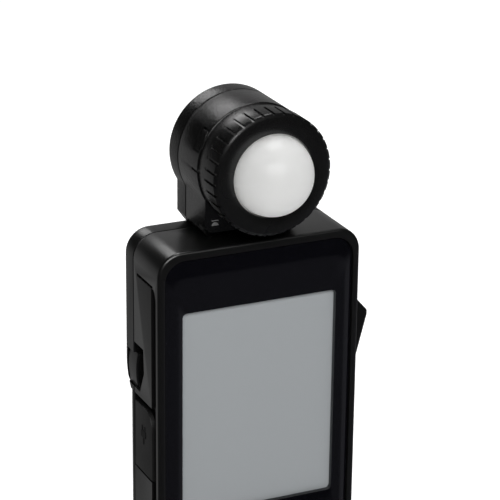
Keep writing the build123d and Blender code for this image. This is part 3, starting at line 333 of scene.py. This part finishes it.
def metal(name, colour, tarnish, roughness, depth):
    material, tree, shader = start_material(name, Metallic=1.0)
    drawn = place_group(tree, "metal", Colour=colour, Tarnish_Colour=tarnish, Roughness=roughness)
    tree.links.new(drawn["Colour"], shader.inputs["Base Color"])
    tree.links.new(drawn["Roughness"], shader.inputs["Roughness"])
    bump(tree, shader, drawn["Height"], depth)
    return material


def printed_board(name):
    material, tree, shader = start_material(name, Roughness=0.35)
    tracks = place_group(tree, "tracks")
    tree.links.new(tracks["Colour"], shader.inputs["Base Color"])
    bump(tree, shader, tracks["Height"], 0.03 * MM)
    return material


def display_glass(name):
    """Switched-off display: neutral grey with a faint lattice of cells under a clear hard coat."""
    material, tree, shader = start_material(name, Roughness=0.42, Coat_Weight=0.35, Coat_Roughness=0.25)
    place = put(tree, "ShaderNodeTexCoord").outputs["Object"]
    upright = put(tree, "ShaderNodeMapping", {"Vector": place, "Rotation": (math.pi / 2, 0.0, 0.0)})
    cells = put(tree, "ShaderNodeTexBrick", {"Vector": upright.outputs["Vector"], "Scale": 1.0,
                "Mortar Size": 0.02 * MM, "Brick Width": 0.2 * MM, "Row Height": 0.2 * MM,
                "Color1": (0.300, 0.318, 0.328, 1), "Color2": (0.306, 0.324, 0.334, 1),
                "Mortar": (0.285, 0.300, 0.312, 1)}, offset=0.0)
    tree.links.new(cells.outputs["Color"], shader.inputs["Base Color"])
    return material


def dome_plastic(name):
    """Milky diffuser plastic: light spreads inside it under a satin face, with a faint even painted glow
    added that stands in for light scattered inside the shell.
    """
    # the emission is painted light: an even glow in place of light that enters the shell elsewhere and leaves
    # evenly
    material, tree, shader = start_material(name, Subsurface_Weight=1.0, Subsurface_Scale=14 * MM,
                                            Specular_IOR_Level=0.25,
                                            Emission_Color=(1.0, 1.0, 0.98, 1.0), Emission_Strength=0.13)
    shader.inputs["Subsurface Radius"].default_value = (1.0, 1.0, 1.0)
    skin = place_group(tree, "skin", Colour=(0.92, 0.91, 0.88), Fleck_Colour=(0.93, 0.92, 0.90),
                       Grains_per_Metre=5000.0, Roughness=0.36, Roughness_Spread=0.06)
    tree.links.new(skin["Colour"], shader.inputs["Base Color"])
    tree.links.new(skin["Roughness"], shader.inputs["Roughness"])
    bump(tree, shader, skin["Height"], 0.0015 * MM)
    return material


def filter_glass(name):
    material, tree, shader = start_material(name, Roughness=0.05, Transmission_Weight=0.8, IOR=1.52)
    place = put(tree, "ShaderNodeTexCoord").outputs["Object"]
    cloud = noise(tree, place, 300.0, 2.0)
    tint = blend_colours(tree, cloud, (0.30, 0.52, 0.58), (0.36, 0.58, 0.62))
    tree.links.new(tint, shader.inputs["Base Color"])
    return material


def grey(value):
    return (value, value, value)


PLASTICS = {
    "case_plastic": dict(colour=grey(0.0035), fleck=grey(0.0065), grains=5200.0,
                         roughness=0.30, spread=0.08, depth=0.004 * MM, dust=0.015),
    "head_plastic": dict(colour=grey(0.0030), fleck=grey(0.007), grains=1700.0,
                         roughness=0.26, spread=0.08, depth=0.11 * MM, dust=0.01, Specular_IOR_Level=0.42),
    "ring_plastic": dict(colour=grey(0.0035), fleck=grey(0.0060), grains=4200.0,
                         roughness=0.27, spread=0.06, depth=0.006 * MM, dust=0.01),
    "panel_gloss": dict(colour=(0.0022, 0.0022, 0.0032), fleck=(0.0030, 0.0030, 0.0042), grains=900.0,
                        roughness=0.07, spread=0.04, depth=0.0004 * MM, Coat_Weight=0.3, Coat_Roughness=0.04),
    "button_plastic": dict(colour=grey(0.009), fleck=grey(0.014), grains=5000.0,
                           roughness=0.38, spread=0.08, depth=0.004 * MM),
    "rubber_black": dict(colour=grey(0.0065), fleck=grey(0.010), grains=4200.0,
                         roughness=0.55, spread=0.12, depth=0.008 * MM, dust=0.05),
    "tray_plastic": dict(colour=grey(0.012), fleck=grey(0.02), grains=2500.0,
                         roughness=0.6, spread=0.1, depth=0.01 * MM),
    "tape_black": dict(colour=grey(0.014), fleck=grey(0.03), grains=6000.0,
                       roughness=0.9, spread=0.1, depth=0.03 * MM),
    "switch_black": dict(colour=grey(0.015), fleck=grey(0.03), grains=5000.0,
                         roughness=0.5, spread=0.1, depth=0.006 * MM),
    "cell_jacket": dict(colour=(0.05, 0.055, 0.065), fleck=(0.07, 0.075, 0.085), grains=1500.0,
                        roughness=0.28, spread=0.1, depth=0.002 * MM),
    "backlight_white": dict(colour=(0.82, 0.82, 0.8), fleck=(0.86, 0.86, 0.84), grains=3000.0,
                            roughness=0.3, spread=0.1, depth=0.002 * MM),
    "flex_film": dict(colour=(0.42, 0.2, 0.045), fleck=(0.52, 0.27, 0.07), grains=1800.0,
                      roughness=0.3, spread=0.1, depth=0.004 * MM),
    "mark_black": dict(colour=grey(0.0012), fleck=grey(0.0016), grains=7000.0,
                       roughness=0.5, spread=0.1, depth=0.002 * MM, Specular_IOR_Level=0.12),
    "mark_grey": dict(colour=grey(0.16), fleck=grey(0.19), grains=7000.0,
                      roughness=0.6, spread=0.1, depth=0.002 * MM),
}
MATERIALS = {name: plastic(name, **finish) for name, finish in PLASTICS.items()}
MATERIALS.update({
    "steel": metal("steel", (0.56, 0.56, 0.55), (0.36, 0.35, 0.34), 0.24, 0.003 * MM),
    "screw_black": metal("screw_black", (0.06, 0.06, 0.062), (0.03, 0.03, 0.03), 0.32, 0.003 * MM),
    "brass": metal("brass", (0.70, 0.50, 0.20), (0.45, 0.30, 0.12), 0.26, 0.004 * MM),
    "board_green": printed_board("board_green"),
    "display": display_glass("display"),
    "dome_white": dome_plastic("dome_white"),
    "filter_glass": filter_glass("filter_glass"),
})


# ---- mesh helpers
def corner_loop(x, z, radius, steps=8):
    """Points round a rounded rectangle between two X and two Z places."""
    centres = ((x[1] - radius, z[1] - radius), (x[0] + radius, z[1] - radius),
               (x[0] + radius, z[0] + radius), (x[1] - radius, z[0] + radius))
    points = []
    for quarter, (middle_x, middle_z) in enumerate(centres):
        for step in range(steps + 1):
            angle = math.pi / 2 * (quarter + step / steps)
            points.append((middle_x + radius * math.cos(angle), middle_z + radius * math.sin(angle)))
    return points


def circle_loop(radius, steps, z=0.0):
    angles = [2 * math.pi * step / steps for step in range(steps)]
    return [(radius * math.cos(angle), z + radius * math.sin(angle)) for angle in angles]


def at_depth(loop, y):
    return [Vector((x, y, z)) for x, z in loop]


def join_rows(bm, rows):
    """Skins a list of closed vertex rows; a row of one vertex is a pole."""
    for first, second in zip(rows, rows[1:]):
        count = max(len(first), len(second))
        for step in range(count):
            after = (step + 1) % count
            if len(first) == 1:
                bm.faces.new((first[0], second[step], second[after]))
            elif len(second) == 1:
                bm.faces.new((first[after], first[step], second[0]))
            else:
                bm.faces.new((first[step], second[step], second[after], first[after]))


def rim_edges(bm, row):
    return [bm.edges.get((row[step - 1], row[step])) or bm.edges.new((row[step - 1], row[step]))
            for step in range(len(row))]


def close_between(bm, rows, facing):
    edges = [edge for row in rows for edge in rim_edges(bm, row)]
    bmesh.ops.triangle_fill(bm, use_beauty=True, use_dissolve=False, edges=edges, normal=facing)


def pierced_plate(outer, holes, blind=False):
    """A closed skin from rows of points, front to back: its rim, and its through or blind holes."""
    bm = bmesh.new()
    rim = [[bm.verts.new(point) for point in loop] for loop in outer]
    walls = [[[bm.verts.new(point) for point in loop] for loop in hole] for hole in holes]
    join_rows(bm, rim)
    for wall in walls:
        join_rows(bm, wall)
    close_between(bm, [rim[0]] + [wall[0] for wall in walls], (0, -1, 0))
    if blind:
        close_between(bm, [rim[-1]], (0, 1, 0))
        for wall in walls:
            close_between(bm, [wall[-1]], (0, 1, 0))
    else:
        close_between(bm, [rim[-1]] + [wall[-1] for wall in walls], (0, 1, 0))
    return bm


def finish_mesh(bm, name, crease):
    """Outward normals and smooth faces, kept sharp past the crease angle."""
    bmesh.ops.remove_doubles(bm, verts=bm.verts, dist=WELD)
    bmesh.ops.recalc_face_normals(bm, faces=bm.faces)
    mesh = bpy.data.meshes.new(name)
    bm.to_mesh(mesh)
    bm.free()
    smooth(mesh, crease)
    return mesh


def smooth(mesh, crease):
    for face in mesh.polygons:
        face.use_smooth = True
    mesh.set_sharp_from_angle(angle=math.radians(crease))


def add_object(name, mesh):
    piece = bpy.data.objects.new(name, mesh)
    bpy.context.scene.collection.objects.link(piece)
    return piece


def add_piece(name, mesh, body, slot, replaced=(), material=None):
    """Puts a finished mesh in the scene, on its body and in its finish."""
    piece = add_object(name, mesh)
    mesh.materials.clear()
    mesh.materials.append(material or MATERIALS[slot])
    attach(piece, body)
    if replaced:
        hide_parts(*replaced)
    return piece


# ---- geometry node trees
def new_shape_tree(name, inputs):
    """An empty geometry tree with its named inputs."""
    tree = bpy.data.node_groups.new(name, "GeometryNodeTree")
    tree.interface.new_socket("Geometry", in_out="INPUT", socket_type="NodeSocketGeometry")
    for label, kind in inputs:
        tree.interface.new_socket(label, in_out="INPUT", socket_type=kind)
    tree.interface.new_socket("Geometry", in_out="OUTPUT", socket_type="NodeSocketGeometry")
    return tree, tree.nodes.new("NodeGroupInput").outputs, tree.nodes.new("NodeGroupOutput").inputs


def end_shape_tree(tree, instances, finish, out, weld):
    """Realises the instances, welds them and gives them their finish."""
    real = put(tree, "GeometryNodeRealizeInstances", {"Geometry": instances}).outputs["Geometry"]
    welded = put(tree, "GeometryNodeMergeByDistance", {"Geometry": real, "Distance": weld})
    shown = put(tree, "GeometryNodeSetMaterial", {"Geometry": welded.outputs["Geometry"], "Material": finish})
    tree.links.new(shown.outputs["Geometry"], out["Geometry"])


def make_sector_ring_tree():
    """Copies one sector round the Y axis through a centre."""
    tree, given, out = new_shape_tree("ring_of_sectors", [
        ("Count", "NodeSocketInt"), ("Centre", "NodeSocketVector"), ("Weld", "NodeSocketFloat"),
        ("Finish", "NodeSocketMaterial")])
    places = put(tree, "GeometryNodeMeshLine", {"Count": given["Count"], "Offset": (0, 0, 0)}).outputs["Mesh"]
    index = put(tree, "GeometryNodeInputIndex").outputs["Index"]
    pitch = maths(tree, "DIVIDE", 2 * math.pi, given["Count"])
    turn = put(tree, "ShaderNodeCombineXYZ", {"Y": maths(tree, "MULTIPLY", index, pitch)}).outputs["Vector"]
    copies = put(tree, "GeometryNodeInstanceOnPoints", {
        "Points": places, "Instance": given["Geometry"], "Rotation": turn}).outputs["Instances"]
    moved = put(tree, "GeometryNodeTransform", {"Geometry": copies, "Translation": given["Centre"]})
    end_shape_tree(tree, moved.outputs["Geometry"], given["Finish"], out, given["Weld"])
    return tree


def make_copies_tree():
    """Copies a shape to every vertex of the mesh that carries the tree."""
    tree, given, out = new_shape_tree("copies_at_points", [
        ("Shape", "NodeSocketObject"), ("Weld", "NodeSocketFloat"), ("Finish", "NodeSocketMaterial")])
    shape = put(tree, "GeometryNodeObjectInfo", {"Object": given["Shape"]}).outputs["Geometry"]
    copies = put(tree, "GeometryNodeInstanceOnPoints", {"Points": given["Geometry"], "Instance": shape})
    end_shape_tree(tree, copies.outputs["Instances"], given["Finish"], out, given["Weld"])
    return tree


def grow(name, mesh, tree, values):
    """The mesh that a geometry tree makes from a starting mesh."""
    carrier = add_object(name, mesh)
    modifier = carrier.modifiers.new(name, "NODES")
    modifier.node_group = tree
    for item in tree.interface.items_tree:
        if item.in_out == "INPUT" and item.name in values:
            modifier[item.identifier] = values[item.name]
    bpy.context.view_layer.update()
    evaluated = carrier.evaluated_get(bpy.context.evaluated_depsgraph_get())
    result = bpy.data.meshes.new_from_object(evaluated)
    carrier.modifiers.clear()
    bpy.data.objects.remove(carrier)
    return result


# ---- front panel and display
def panel_outline(x_in, z_in, radius):
    """The panel's outline drawn in from its edges."""
    x = (PANEL_LOW.x + x_in, PANEL_HIGH.x - x_in)
    z = (PANEL_LOW.z + z_in, PANEL_HIGH.z - z_in)
    return corner_loop(x, z, radius)


def panel_rows():
    """Rim of the panel from its flat field, down the sloping bands and over the lip to the back."""
    rows = []
    for part in (0.0, PANEL_SOFT, 0.5, 1.0):
        back = 1 - part
        x_in = PANEL_SIDE_BAND * back + PANEL_LIP
        z_in = PANEL_BAND * back + PANEL_LIP
        fall = PANEL_FALL * (part - PANEL_BLEND * min(part / PANEL_SOFT, 1.0))
        loop = panel_outline(x_in, z_in, PANEL_R - PANEL_LIP - PANEL_SIDE_BAND * back)
        rows.append(at_depth(loop, PANEL_LOW.y + fall))
    for part in (0.5, 1.0):
        angle = math.pi / 2 * part
        inset = PANEL_LIP * (1 - math.sin(angle))
        loop = panel_outline(inset, inset, PANEL_R - inset)
        rows.append(at_depth(loop, PANEL_LOW.y + PANEL_FALL + PANEL_LIP * (1 - math.cos(angle))))
    rows.append(at_depth(panel_outline(0.0, 0.0, PANEL_R), PANEL_HIGH.y))
    return rows


def hole_rows(x, z, radius, bevel):
    """Wall of an opening through the panel, with its broken front edge."""
    front = PANEL_LOW.y
    steps = ((bevel, front), (bevel * 0.3, front + bevel * 0.3), (0.0, front + bevel), (0.0, PANEL_HIGH.y))
    rows = []
    for wider, y in steps:
        loop = corner_loop((x[0] - wider, x[1] + wider), (z[0] - wider, z[1] + wider), radius + wider)
        rows.append(at_depth(loop, y))
    return rows


def button_opening(name):
    low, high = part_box(name)
    inset = BUTTON_FLANGE - BUTTON_GAP
    x = (low.x + inset, high.x - inset)
    z = (low.z + inset, high.z - inset)
    return hole_rows(x, z, (z[1] - z[0]) / 2 - 0.01 * MM, VIEW_BEVEL)


def make_panel():
    """Glossy front with sloping bands along its edges, the display window and three button openings."""
    window = hole_rows((FILM_LOW.x + VIEW_SIDE, FILM_HIGH.x - VIEW_SIDE),
                       (FILM_LOW.z + VIEW_END, FILM_HIGH.z - VIEW_END), VIEW_R, VIEW_BEVEL)
    holes = [window] + [button_opening(name) for name in ("menu_button", "power_button", "memory_button")]
    mesh = finish_mesh(pierced_plate(panel_rows(), holes), "front_window_panel", crease=40.0)
    add_piece("front_window_panel", mesh, "meter_body", "panel_gloss", ["front_panel"])


# ---- head
def ring_stations():
    """Ring section as radius and depth: first over a land, then over a flute's floor."""
    radius = RING_HIGH.x
    floor = radius - KNURL_DEEP
    face = RING_LOW.y
    nose = face + RING_NOSE
    back = RING_HIGH.y
    plate = face + RING_PLATE
    run_out = nose - RING_NOSE * KNURL_DEEP / RING_BEVEL
    corner = radius - RING_BEVEL
    shared = [(RING_BORE_R, plate), (RING_MOUTH_R, plate), (RING_MOUTH_R, face + 2 * ARRIS),
              (RING_MOUTH_R + 0.6 * ARRIS, face + 0.6 * ARRIS), (RING_MOUTH_R + 2 * ARRIS, face),
              (corner - ARRIS, face), (corner, face + 0.3 * ARRIS), (corner + ARRIS, face + 1.4 * ARRIS),
              (floor, run_out)]
    land = [(radius - 0.6 * ARRIS, nose - 0.8 * ARRIS), (radius, nose + 0.6 * ARRIS),
            (radius, back - 2 * ARRIS), (radius - ARRIS, back - 0.5 * ARRIS)]
    flute = [(floor, nose - 0.8 * ARRIS), (floor, nose + 0.6 * ARRIS), (floor, back - 2 * ARRIS),
             (floor, back - 0.5 * ARRIS)]
    end = [(floor, back), (RING_BORE_R, back)]
    return shared + land + end, shared + flute + end


def make_ring():
    """Knurled retraction ring: one flute and half a land each side, repeated round the axis."""
    land, flute = ring_stations()
    radius = RING_HIGH.x
    half_pitch = math.pi / KNURLS
    floor_turn = KNURL_HALF / radius
    top_turn = (KNURL_HALF + KNURL_FLANK) / radius
    arris_turn = ARRIS / radius
    columns = [(-half_pitch, land), (-top_turn - arris_turn, land), (-top_turn, land), (-floor_turn, flute),
               (floor_turn, flute), (top_turn, land), (top_turn + arris_turn, land), (half_pitch, land)]
    bm = bmesh.new()
    grid = [[bm.verts.new((r * math.sin(turn), y, r * math.cos(turn))) for r, y in stations]
            for turn, stations in columns]
    for first, second in zip(grid, grid[1:]):
        for step in range(len(first)):
            bm.faces.new((first[step - 1], second[step - 1], second[step], first[step]))
    sector = bpy.data.meshes.new("ring_sector")
    bm.to_mesh(sector)
    bm.free()
    centre = (0.0, 0.0, HEAD_Z)
    values = {"Count": KNURLS, "Centre": centre, "Weld": 0.002 * MM, "Finish": MATERIALS["ring_plastic"]}
    whole = grow("ring_sector", sector, make_sector_ring_tree(), values)
    bm = bmesh.new()
    bm.from_mesh(whole)
    mesh = finish_mesh(bm, "knurled_ring", crease=30.0)
    add_piece("knurled_ring", mesh, "ring", "ring_plastic", ["retraction_ring"])


def turned_mesh(name, profile, steps, crease):
    """A shape turned about the head's axis, from radius and depth."""
    bm = bmesh.new()
    rows = []
    for radius, y in profile:
        if radius == 0:
            rows.append([bm.verts.new((0, y, HEAD_Z))])
        else:
            rows.append([bm.verts.new((x, y, z)) for x, z in circle_loop(radius, steps, HEAD_Z)])
    join_rows(bm, rows)
    return finish_mesh(bm, name, crease)


def make_dome():
    """Half-round light diffuser with its skirt and flange, hollow inside."""
    middle = DOME_LOW.y + DOME_R
    inner = DOME_R - DOME_WALL
    steps = 28
    arc = [math.pi / 2 * step / steps for step in range(steps + 1)]
    outer_line = [(DOME_R * math.sin(a), middle - DOME_R * math.cos(a)) for a in arc]
    inner_line = [(inner * math.sin(a), middle - inner * math.cos(a)) for a in reversed(arc)]
    outer_line[0] = (0, DOME_LOW.y)
    inner_line[-1] = (0, middle - inner)
    flange = [(DOME_R, DOME_HIGH.y - DOME_FLANGE_T), (DOME_FLANGE_R, DOME_HIGH.y - DOME_FLANGE_T),
              (DOME_FLANGE_R, DOME_HIGH.y), (inner, DOME_HIGH.y)]
    mesh = turned_mesh("light_dome", outer_line + flange + inner_line, steps=96, crease=50.0)
    add_piece("light_dome", mesh, "dome_unit", "dome_white", ["dome"])


# ---- screws
def islands(node):
    """Lowest and highest corners of each separate solid in a CAD node."""
    bm = bmesh.new()
    bm.from_mesh(NODES[node].data)
    bmesh.ops.remove_doubles(bm, verts=bm.verts, dist=WELD)
    left = set(bm.verts)
    boxes = []
    while left:
        reached = [left.pop()]
        for vert in reached:
            for edge in vert.link_edges:
                other = edge.other_vert(vert)
                if other in left:
                    left.discard(other)
                    reached.append(other)
        spans = [[vert.co[axis] for vert in reached] for axis in range(3)]
        boxes.append((Vector([min(span) for span in spans]), Vector([max(span) for span in spans])))
    bm.free()
    return sorted(boxes, key=lambda box: (round(box[0].x, 5), box[0].z))


def screw_mesh(length):
    """Pan-head screw with a cross recess, pointing along -Y, its head's top at the origin."""
    steps = 24
    rim = [at_depth(circle_loop(radius, steps), y) for radius, y in
           ((SCREW_HEAD_R * 0.62, 0.0), (SCREW_HEAD_R * 0.85, -0.08 * MM), (SCREW_HEAD_R * 0.96, -0.28 * MM),
            (SCREW_HEAD_R, -0.55 * MM), (SCREW_HEAD_R, -SCREW_HEAD_L), (SCREW_R, -SCREW_HEAD_L))]
    turns = int((length - SCREW_HEAD_L) / THREAD_PITCH) - 1
    for turn in range(turns):
        y = -SCREW_HEAD_L - THREAD_PITCH * (turn + 0.5)
        rim.append(at_depth(circle_loop(SCREW_R - THREAD_DEEP, steps), y))
        rim.append(at_depth(circle_loop(SCREW_R, steps), y - THREAD_PITCH / 2))
    rim.append(at_depth(circle_loop(SCREW_R * 0.6, steps), -length))
    arm, half = SCREW_RECESS, SCREW_RECESS_W
    cross = [(arm, half), (half, half), (half, arm), (-half, arm), (-half, half), (-arm, half),
             (-arm, -half), (-half, -half), (-half, -arm), (half, -arm), (half, -half), (arm, -half)]
    recess = [at_depth([(x * share, z * share) for x, z in cross], y)
              for share, y in ((1.0, 0.0), (0.92, -0.2 * MM), (0.35, -0.8 * MM))]
    return finish_mesh(pierced_plate(rim, [recess], blind=True), "screw", crease=40.0)


def make_screws(node, piece, tree):
    """Detailed screws in place of a CAD group, copied to each screw's seat by its length."""
    seats = {}
    for low, high in islands(node):
        top = Vector(((low.x + high.x) / 2, high.y, (low.z + high.z) / 2))
        seats.setdefault(round(high.y - low.y, 5), []).append(top)
    whole = bmesh.new()
    for length, places in seats.items():
        shape = add_object("screw_shape", screw_mesh(length))
        points = bpy.data.meshes.new("screw_seats")
        points.from_pydata(places, [], [])
        values = {"Shape": shape, "Weld": 0.001 * MM, "Finish": MATERIALS["screw_black"]}
        whole.from_mesh(grow("screw_seats", points, tree, values))
        bpy.data.objects.remove(shape)
    mesh = finish_mesh(whole, piece, crease=40.0)
    add_piece(piece, mesh, BODY_OF[node], "steel", [node], MATERIALS["screw_black"])


# ---- softened shells
def soften(node, piece, width):
    """A copy of a CAD shell whose arrises are broken by a small round."""
    bm = bmesh.new()
    bm.from_mesh(NODES[node].data)
    bmesh.ops.remove_doubles(bm, verts=bm.verts, dist=CAD_WELD)
    bmesh.ops.dissolve_limit(bm, angle_limit=FLAT_ANGLE, verts=bm.verts, edges=bm.edges, delimit={"NORMAL"})
    mesh = bpy.data.meshes.new(piece)
    bm.to_mesh(mesh)
    bm.free()
    carrier = add_object("softening", mesh)
    bevel = carrier.modifiers.new("bevel", "BEVEL")
    bevel.width = width
    bevel.segments = ROUND_STEPS
    bevel.limit_method = "ANGLE"
    bevel.angle_limit = ROUND_ANGLE
    bevel.use_clamp_overlap = True
    bpy.context.view_layer.update()
    evaluated = carrier.evaluated_get(bpy.context.evaluated_depsgraph_get())
    result = bpy.data.meshes.new_from_object(evaluated)
    bpy.data.objects.remove(carrier)
    smooth(result, crease=25.0)
    result.name = piece
    add_piece(piece, result, BODY_OF[node], SLOT_OF[node], [node])


# ---- printed and raised marks
def marks_mesh(name, outlines, place, low, high):
    """Flat shapes given as outlines, raised from one height to another; place puts them in the frame."""
    bm = bmesh.new()
    for outline in outlines:
        rows = [[bm.verts.new(place(u, v, w)) for u, v in outline] for w in (low, high)]
        join_rows(bm, rows)
        bm.faces.new(rows[0])
        bm.faces.new(rows[1])
    return finish_mesh(bm, name, crease=30.0)


def bar(u, v, width, height):
    return corner_loop((u - width / 2, u + width / 2), (v - height / 2, v + height / 2),
                       min(width, height) * 0.3, 3)


def arc_band(radius, width, start, end, steps=16):
    """A curved stroke round the origin, from one angle to another in degrees."""
    angles = [math.radians(start + (end - start) * step / steps) for step in range(steps + 1)]
    wide = radius + width / 2
    narrow = radius - width / 2
    outer = [(wide * math.cos(a), wide * math.sin(a)) for a in angles]
    inner = [(narrow * math.cos(a), narrow * math.sin(a)) for a in reversed(angles)]
    return outer + inner


def make_plug_mark():
    """Raised plug sign on the terminal flap: a body with two prongs and a short lead."""
    y_mid = (FLAP_LOW.y + FLAP_HIGH.y) / 2
    z_mid = FLAP_LOW.z + (FLAP_HIGH.z - FLAP_LOW.z) * 0.6

    def on_flap(u, v, w):
        return Vector((FLAP_LOW.x - w, y_mid + u, z_mid + v))

    shapes = [bar(0, 0, 3.2 * MM, 2.1 * MM), bar(-0.85 * MM, 1.7 * MM, 0.6 * MM, 1.3 * MM),
              bar(0.85 * MM, 1.7 * MM, 0.6 * MM, 1.3 * MM), bar(0, -2.0 * MM, 0.6 * MM, 1.9 * MM)]
    mesh = marks_mesh("plug_mark", shapes, on_flap, -PLUG_SINK, PLUG_RISE)
    add_piece("plug_mark", mesh, "usb_cover", "rubber_black", (), MATERIALS["mark_black"])


def make_neck_mark():
    """Printed sign on the neck: a half-round under a bar."""
    steps = 12
    angles = [math.pi * step / steps for step in range(steps + 1)]

    def on_neck(u, v, w):
        return Vector((NECK_MARK_X + u, FRONT + NECK_SETBACK - w, BODY_TOP + NECK_MARK_RISE + v))

    half_round = [(NECK_MARK_R * math.cos(angle), NECK_MARK_R * math.sin(angle)) for angle in angles]
    shapes = [half_round, bar(0, 1.35 * MM, 1.9 * MM, 0.25 * MM)]
    mesh = marks_mesh("neck_mark", shapes, on_neck, -MARK_RISE, MARK_RISE)
    add_piece("neck_mark", mesh, "meter_body", "head_plastic", (), MATERIALS["mark_grey"])


def make_button_marks():
    """Printed signs on the three front buttons: list, power and store."""
    signs = {
        "menu_button": [bar(0, v * MM, 2.6 * MM, 0.35 * MM) for v in (-0.8, 0.0, 0.8)],
        "power_button": [arc_band(1.2 * MM, 0.3 * MM, 125, 415), bar(0, 1.1 * MM, 0.3 * MM, 1.3 * MM)],
        "memory_button": [bar(0, -0.9 * MM, 2.6 * MM, 0.35 * MM), bar(0, 0.45 * MM, 0.4 * MM, 1.5 * MM),
                          [(-0.7 * MM, 0.2 * MM), (0.0, -0.6 * MM), (0.7 * MM, 0.2 * MM)]],
    }
    for name, shapes in signs.items():
        low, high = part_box(name)
        middle = (low + high) / 2

        def on_button(u, v, w):
            return Vector((middle.x + u, low.y - w, middle.z + v))

        mesh = marks_mesh(name + "_sign", shapes, on_button, -MARK_RISE, MARK_RISE)
        add_piece(name + "_sign", mesh, name, "button_plastic", (), MATERIALS["mark_grey"])


# ---- stage
def make_camera():
    """Long lens from the front left, a little above."""
    turn = math.radians(VIEW_TURN)
    rise = math.radians(VIEW_RISE)
    away = Vector((-math.sin(turn) * math.cos(rise), -math.cos(turn) * math.cos(rise), math.sin(rise)))
    camera_data = bpy.data.cameras.new("view")
    camera_data.lens = VIEW_LENS
    camera_data.clip_start = 0.01
    camera = bpy.data.objects.new("view", camera_data)
    bpy.context.scene.collection.objects.link(camera)
    level = (-away).to_track_quat("-Z", "Y").to_matrix().to_4x4()
    roll = Matrix.Rotation(math.radians(VIEW_ROLL), 4, "Z")
    camera.matrix_world = Matrix.Translation(VIEW_AIM + away * VIEW_DISTANCE) @ level @ roll
    bpy.context.scene.camera = camera


def area_light(name, place, width, height, glow):
    """A softbox turned to the head, of an even brightness over its face."""
    aim = Vector((0, 0, BODY_TOP))
    data = bpy.data.lights.new(name, "AREA")
    data.shape = "RECTANGLE"
    data.size = width
    data.size_y = height
    data.energy = glow * math.pi * width * height
    light = bpy.data.objects.new(name, data)
    bpy.context.scene.collection.objects.link(light)
    light.location = place
    light.rotation_euler = (aim - Vector(place)).to_track_quat("-Z", "Y").to_euler()


def make_surroundings():
    """What the glossy black reflects: pale backdrop behind, dim table in front, dark elsewhere."""
    world = bpy.data.worlds.new("studio")
    bpy.context.scene.world = world
    world.use_nodes = True
    tree = world.node_tree
    tree.nodes.clear()
    direction = put(tree, "ShaderNodeTexCoord").outputs["Generated"]
    parts = put(tree, "ShaderNodeSeparateXYZ", {0: direction}).outputs
    behind = stretch(tree, parts["Y"], 0.2, 0.6)
    high = stretch(tree, parts["Z"], -0.12, 0.12)
    left = stretch(tree, parts["X"], -0.04, -0.26)
    flag = maths(tree, "MULTIPLY", high, left)
    low = stretch(tree, parts["Z"], -0.22, -0.36)
    right = stretch(tree, parts["X"], 0.36, 0.60)
    table = maths(tree, "MULTIPLY", low, maths(tree, "MAXIMUM", right, 0.35))
    front = blend_colours(tree, table, (0.004, 0.004, 0.005), (0.16, 0.16, 0.18))
    back = blend_colours(tree, flag, (0.30, 0.30, 0.30), (0.02, 0.02, 0.02))
    surroundings = blend_colours(tree, behind, front, back)
    seen = put(tree, "ShaderNodeLightPath").outputs["Is Camera Ray"]
    shown = blend_colours(tree, seen, surroundings, (1.0, 1.0, 1.0))
    background = put(tree, "ShaderNodeBackground", {"Color": shown})
    output = tree.nodes.new("ShaderNodeOutputWorld")
    tree.links.new(background.outputs["Background"], output.inputs["Surface"])


def make_light():
    """High front softbox for the dome and display, one overhead, and one behind for the head's crown."""
    for softbox in SOFTBOXES:
        area_light(*softbox)
    make_surroundings()
    bpy.context.scene.view_settings.view_transform = "Standard"


def make_floor():
    """Plain white table top, bright enough to run into the background."""
    half = FLOOR_HALF
    low = CAD_BOX[0][2] - FLOOR_GAP
    corners = [(-half, -half, low), (half, -half, low), (half, half, low), (-half, half, low)]
    mesh = bpy.data.meshes.new("floor")
    mesh.from_pydata(corners, [], [(0, 1, 2, 3)])
    floor = add_object("floor", mesh)
    material, tree, shader = start_material("pale_floor", Roughness=0.9)
    shader.inputs["Base Color"].default_value = (0.9, 0.9, 0.9, 1)
    shader.inputs["Emission Color"].default_value = (1, 1, 1, 1)
    seen = put(tree, "ShaderNodeLightPath").outputs["Is Camera Ray"]
    tree.links.new(maths(tree, "MULTIPLY", seen, 0.6), shader.inputs["Emission Strength"])
    mesh.materials.append(material)
    floor.visible_glossy = False


# ---- making
make_camera()
make_light()
make_floor()

for node, node_object in NODES.items():
    node_object.data.materials.clear()
    node_object.data.materials.append(MATERIALS[SLOT_OF[node]])

make_panel()
make_ring()
make_dome()
screw_tree = make_copies_tree()
make_screws("case_screws", "case_screw_set", screw_tree)
make_screws("head_screws", "head_screw_set", screw_tree)
for node, piece, width in (
    ("front_case", "front_shell", 0.15 * MM),
    ("rear_cover", "rear_shell", 0.15 * MM),
    ("battery_cover", "battery_lid", 0.15 * MM),
    ("head_housing", "head_shell", 0.12 * MM),
    ("head_rear_cap", "head_cap", 0.12 * MM),
    ("head_collar", "head_fixed_ring", 0.10 * MM),
    ("accessory_insert", "ribbed_strip", 0.06 * MM),
    ("strap_bar", "strap_post", 0.15 * MM),
    ("measuring_button", "thumb_key", 0.12 * MM),
    ("usb_cover", "terminal_flap", 0.15 * MM),
):
    soften(node, piece, width)
make_plug_mark()
make_neck_mark()
make_button_marks()
